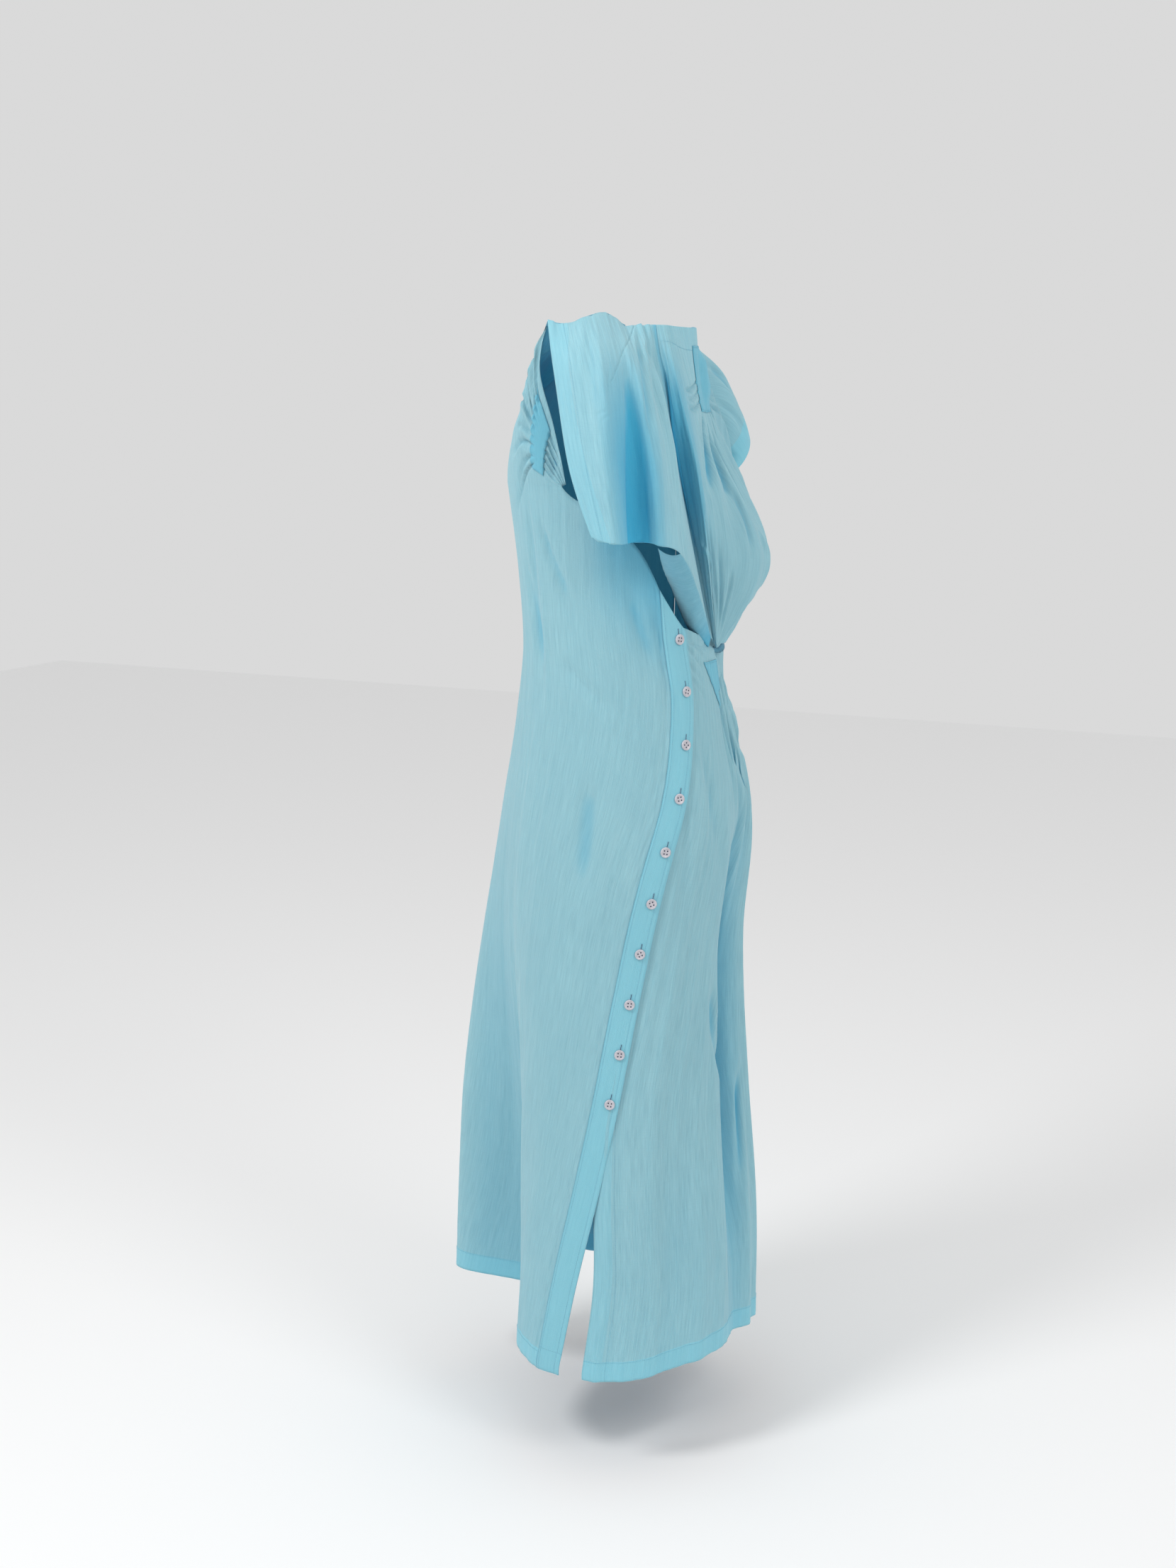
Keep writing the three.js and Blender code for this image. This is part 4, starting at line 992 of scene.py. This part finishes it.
# Buttons with a raised rim and a soft dish, sewn on with navy thread that stands for their holes
button = {
    "radius": 6.75, "height": 2.6, "count": 10, "top": -388, "pitch": 65.6, "inset": 12.5, "lift": 0.3,
    "cells": 48,
    # profile from the back over the rim to the dish, as shares of the radius and the height
    "across": [0.86, 0.95, 1, 1, 0.96, 0.9, 0.82, 0.74, 0.68, 0.6, 0.5, 0.42],
    "up": [0, 0.06, 0.24, 0.62, 0.84, 0.96, 1, 0.94, 0.8, 0.72, 0.69, 0.68],
}
bead = {"cells": 8, "radii": [1.05, 0.95], "up": [0.66, 0.72], "offset": 2.0}


def turned(radii, heights, cells):
    # a profile carried round an upright axis: (radius * cos, radius * sin, height)
    angle = np.arange(cells)[:, None] / cells * 2 * np.pi
    points = np.broadcast_arrays(np.cos(angle) * radii, np.sin(angle) * radii, heights)
    return np.stack(points, -1).reshape(-1, 3)


def turnedFaces(cells, rings):
    # the cells between the rings, and strips of cells across the two flat ends
    k = np.arange(cells // 2 - 1)
    end = np.stack([k, k + 1, cells - 2 - k, cells - 1 - k], -1) * rings
    return np.concatenate([gridFaces(cells, rings, True).reshape(-1, 4), end + rings - 1, end[:, ::-1]])


def joined(name, copies, faces, material):
    # one piece from the copies of a shape: its faces again for the points of each
    starts = copies.shape[1] * np.arange(len(copies))
    return buildPiece(name, copies, faces + starts[:, None, None], material, smooth=False)


onLine = (1 - button["inset"] / placketWidth) * placket["cells"][0]
before, part = int(onLine), onLine % 1
buttonLine = placketPoints[before] * (1 - part) + placketPoints[before + 1] * part
buttonNormals = gridNormals(placketPoints)[before]


def onButtonLine(heights):
    # places where the buttons' line reaches the heights, with the directions outwards and up the edge
    k = np.argmax(buttonLine[:, 2] > heights[:, None], axis=1)
    low, high = buttonLine[k - 1], buttonLine[k]
    t = ((heights - low[:, 2]) / (high[:, 2] - low[:, 2]))[:, None]
    along = unit(high - low)
    outward = buttonNormals[k - 1] * (1 - t) + buttonNormals[k] * t
    outward = unit(outward - along * (outward * along).sum(-1, keepdims=True))
    return low * (1 - t) + high * t, outward, along


buttonHeights = button["top"] - button["pitch"] * np.arange(button["count"])
places, outwards, alongs = onButtonLine(buttonHeights)
turns = np.radians(np.random.default_rng(5).uniform(0, 90, button["count"]))[:, None]
sides = np.cross(alongs, outwards)
turnedSides = sides * np.cos(turns) + alongs * np.sin(turns)
turnedAlongs = alongs * np.cos(turns) - sides * np.sin(turns)
buttonAxes = np.stack([turnedSides, turnedAlongs, outwards], 1)


def onEachButton(points):
    # points given about an upright axis, stood on the band at every button
    return points @ buttonAxes + (places + outwards * button["lift"])[:, None]


rimPoints = turned(np.array(button["across"]) * button["radius"], np.array(button["up"]) * button["height"],
                   button["cells"])
rimFaces = turnedFaces(button["cells"], len(button["up"]))
for k, points in enumerate(onEachButton(rimPoints), 1):
    piece = buildPiece(f"shirt_button_{k}", points, rimFaces, shell)
    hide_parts(f"button_{k}")
beadPoints = turned(np.array(bead["radii"]), np.array(bead["up"]) * button["height"], bead["cells"])
offsets = np.array([[1, 1, 0], [-1, 1, 0], [-1, -1, 0], [1, -1, 0]]) * bead["offset"]
beads = onEachButton((offsets[:, None] + beadPoints).reshape(-1, 3)).reshape(-1, len(beadPoints), 3)
underside = bead["cells"] // 2 - 1    # the last faces, left out because they lie inside the button
joined("button_thread", beads, turnedFaces(bead["cells"], 2)[:-underside], navyThread)
print("buttons made")

# Machine stitches along the doubled edges, as short raised dashes of thread
stitch = {
    "pitch": 2.8, "size": (2.0, 0.32, 0.28),    # length, width and height
    "fromHem": 26, "fromBackEdge": 23, "fromSleeveEdge": 24,
}
boxFoot = np.array([[-0.5, -0.5, 0], [0.5, -0.5, 0], [0.5, 0.5, 0], [-0.5, 0.5, 0]])
boxCorners = np.concatenate([boxFoot, boxFoot + [0, 0, 1]])
boxFaces = np.array([[0, 3, 2, 1], [4, 5, 6, 7], [0, 1, 5, 4], [1, 2, 6, 5], [2, 3, 7, 6], [3, 0, 4, 7]])


def boxesAlong(places, forward, out, size):
    # a box at each place: corners = place + x * length * forward + y * width * side + z * height * out
    forward = unit(forward)
    side = unit(np.cross(out, forward))
    x, y, z = (boxCorners * size).T[:, None, :, None]
    return places[:, None] + x * forward[:, None] + y * side[:, None] + z * out[:, None]


def stitchRow(line, normals):
    # stitches at an even pitch on a line of surface points
    run = runLength(line, 0)
    at = np.arange(0.5 * stitch["pitch"], run[-1], stitch["pitch"])
    places, out, ahead = (
        np.stack([np.interp(a, run, values[:, c]) for c in range(3)], -1)
        for a, values in ((at, line), (at, normals), (at + 0.5, line)))
    return boxesAlong(places, ahead - places, unit(out), stitch["size"])


def stitchLines(grid, across=(), along=(), span=slice(None)):
    # rows of stitches down chosen columns and over chosen rows of a grid
    normals = gridNormals(grid)
    rows = [stitchRow(grid[i, span], normals[i, span]) for i in across]
    return rows + [stitchRow(grid[span, j], normals[span, j]) for j in along]


def lineAt(grid, axis, distance):
    # the column (axis 0) or row (axis 1) of a grid that lies this far from its first one
    return nearest(runLength(grid, axis).mean(1 - axis), distance)


hemRow = lineAt(frontCut["points"][:, :lastSkirt], 1, stitch["fromHem"])
backHemRow = lineAt(backCut["points"], 1, stitch["fromHem"])
backEdge = lineAt(backCut["points"], 0, stitch["fromBackEdge"])
sleeveFoot = nearest(sleeveCut["rows"], 0)
sleeveEdge = lineAt(sleeveCut["points"][:, sleeveFoot:], 0, stitch["fromSleeveEdge"])
neckRow = len(bodiceCut["rows"]) - 1 - lineAt(bodiceCut["points"][:, ::-1], 1, stitch["fromHem"])
underPlacket = nearest(frontCut["columns"], placketShare)
rows = stitchLines(frontCut["points"], along=[hemRow], span=slice(underPlacket))
rows += stitchLines(placketPoints, across=[0, 1, 8], along=[hemRow])
rows += stitchLines(backCut["points"], across=[backEdge], span=slice(-10))  # not where the bodice hides it
rows += stitchLines(backCut["points"], along=[backHemRow])
rows += stitchLines(sleeveCut["points"], across=[sleeveEdge], span=slice(sleeveFoot, None))
rows += stitchLines(bodiceCut["points"], along=[neckRow], span=slice(nearest(bodiceCut["columns"], 10.94)))
rows += stitchLines(frontStayPoints, across=[1, -2], along=[1, -2])
rows += stitchLines(waistStayPoints, across=[2, -3], along=[-2])
rows += stitchLines(backStayPoints, across=[1, -2], along=[1, -2])
joined("stitching", np.concatenate(rows), boxFaces, blueThread)

# Buttonholes: a bar of close stitches along the band above each button, with a dark box of navy thread in it
# as painted shade in the slit
buttonhole = {"gap": 2.6, "bar": (9.0, 2.4, 0.35), "slit": (8.2, 0.7, 0.5)}  # sizes as a stitch's
barPlaces, barOutwards, barAlongs = onButtonLine(buttonHeights + button["radius"] + buttonhole["gap"])
for name, size, material in (("buttonholes", "bar", blueThread), ("buttonhole_slit_shade", "slit", navyThread)):
    bars = boxesAlong(barPlaces, barAlongs, barOutwards, buttonhole[size])
    joined(name, bars, boxFaces, material)
print("stitching made")

# Plain pale floor and backdrop, soft light, and the camera
studio = {
    "floor": -1.485, "floorSize": 12, "floorColour": (0.93, 0.93, 0.93, 1), "sky": 0.7,
    # place, what it is turned to, how wide, how strong
    "key": ((2.0, -1.0, 1.5), (0.1, 0, -0.15), 0.9, 40),
    "fill": ((1.0, 2.2, 1.2), (0, 0.1, -0.15), 1.2, 20),
    "camera": (2.345505, 1.027524, -0.091575), "pitch": 11.13, "yaw": 25, "sensor": 36,
    "focal": 2775 / 2212,   # as a share of the frame's height
}
bpy.ops.mesh.primitive_plane_add(size=studio["floorSize"], location=(0, 0, studio["floor"]))
floor = bpy.context.object
floor.name = "floor"
floorMaterial, floorTree = newMaterial("matt_white_paint")
finishMaterial(floorTree, {"Base Color": studio["floorColour"], "Roughness": 0.9})
floor.data.materials.append(floorMaterial)

world = bpy.data.worlds.new("studio")
bpy.context.scene.world = world
world.use_nodes = True
world.node_tree.nodes["Background"].inputs[0].default_value = (1, 1, 1, 1)
world.node_tree.nodes["Background"].inputs[1].default_value = studio["sky"]

for name in ("key", "fill"):
    place, target, size, power = studio[name]
    lamp = bpy.data.lights.new(name, "AREA")
    lamp.energy = power
    lamp.shape = "DISK"
    lamp.size = size
    holder = bpy.data.objects.new(name, lamp)
    holder.location = place
    holder.rotation_euler = (Vector(target) - Vector(place)).to_track_quat("-Z", "Y").to_euler()
    bpy.context.scene.collection.objects.link(holder)

camera = bpy.data.cameras.new("camera")
camera.sensor_fit = "VERTICAL"
camera.sensor_height = studio["sensor"]
camera.lens = studio["sensor"] * studio["focal"]
camera.clip_end = 50
eye = bpy.data.objects.new("camera", camera)
pitch, yaw = math.radians(studio["pitch"]), math.radians(studio["yaw"])
forward = Vector((-math.cos(yaw) * math.cos(pitch), -math.sin(yaw) * math.cos(pitch), -math.sin(pitch)))
eye.location = studio["camera"]
eye.rotation_euler = (-forward).to_track_quat("Z", "Y").to_euler()
bpy.context.scene.collection.objects.link(eye)
bpy.context.scene.camera = eye
bpy.context.scene.view_settings.view_transform = "Standard"
print("stage and camera set")
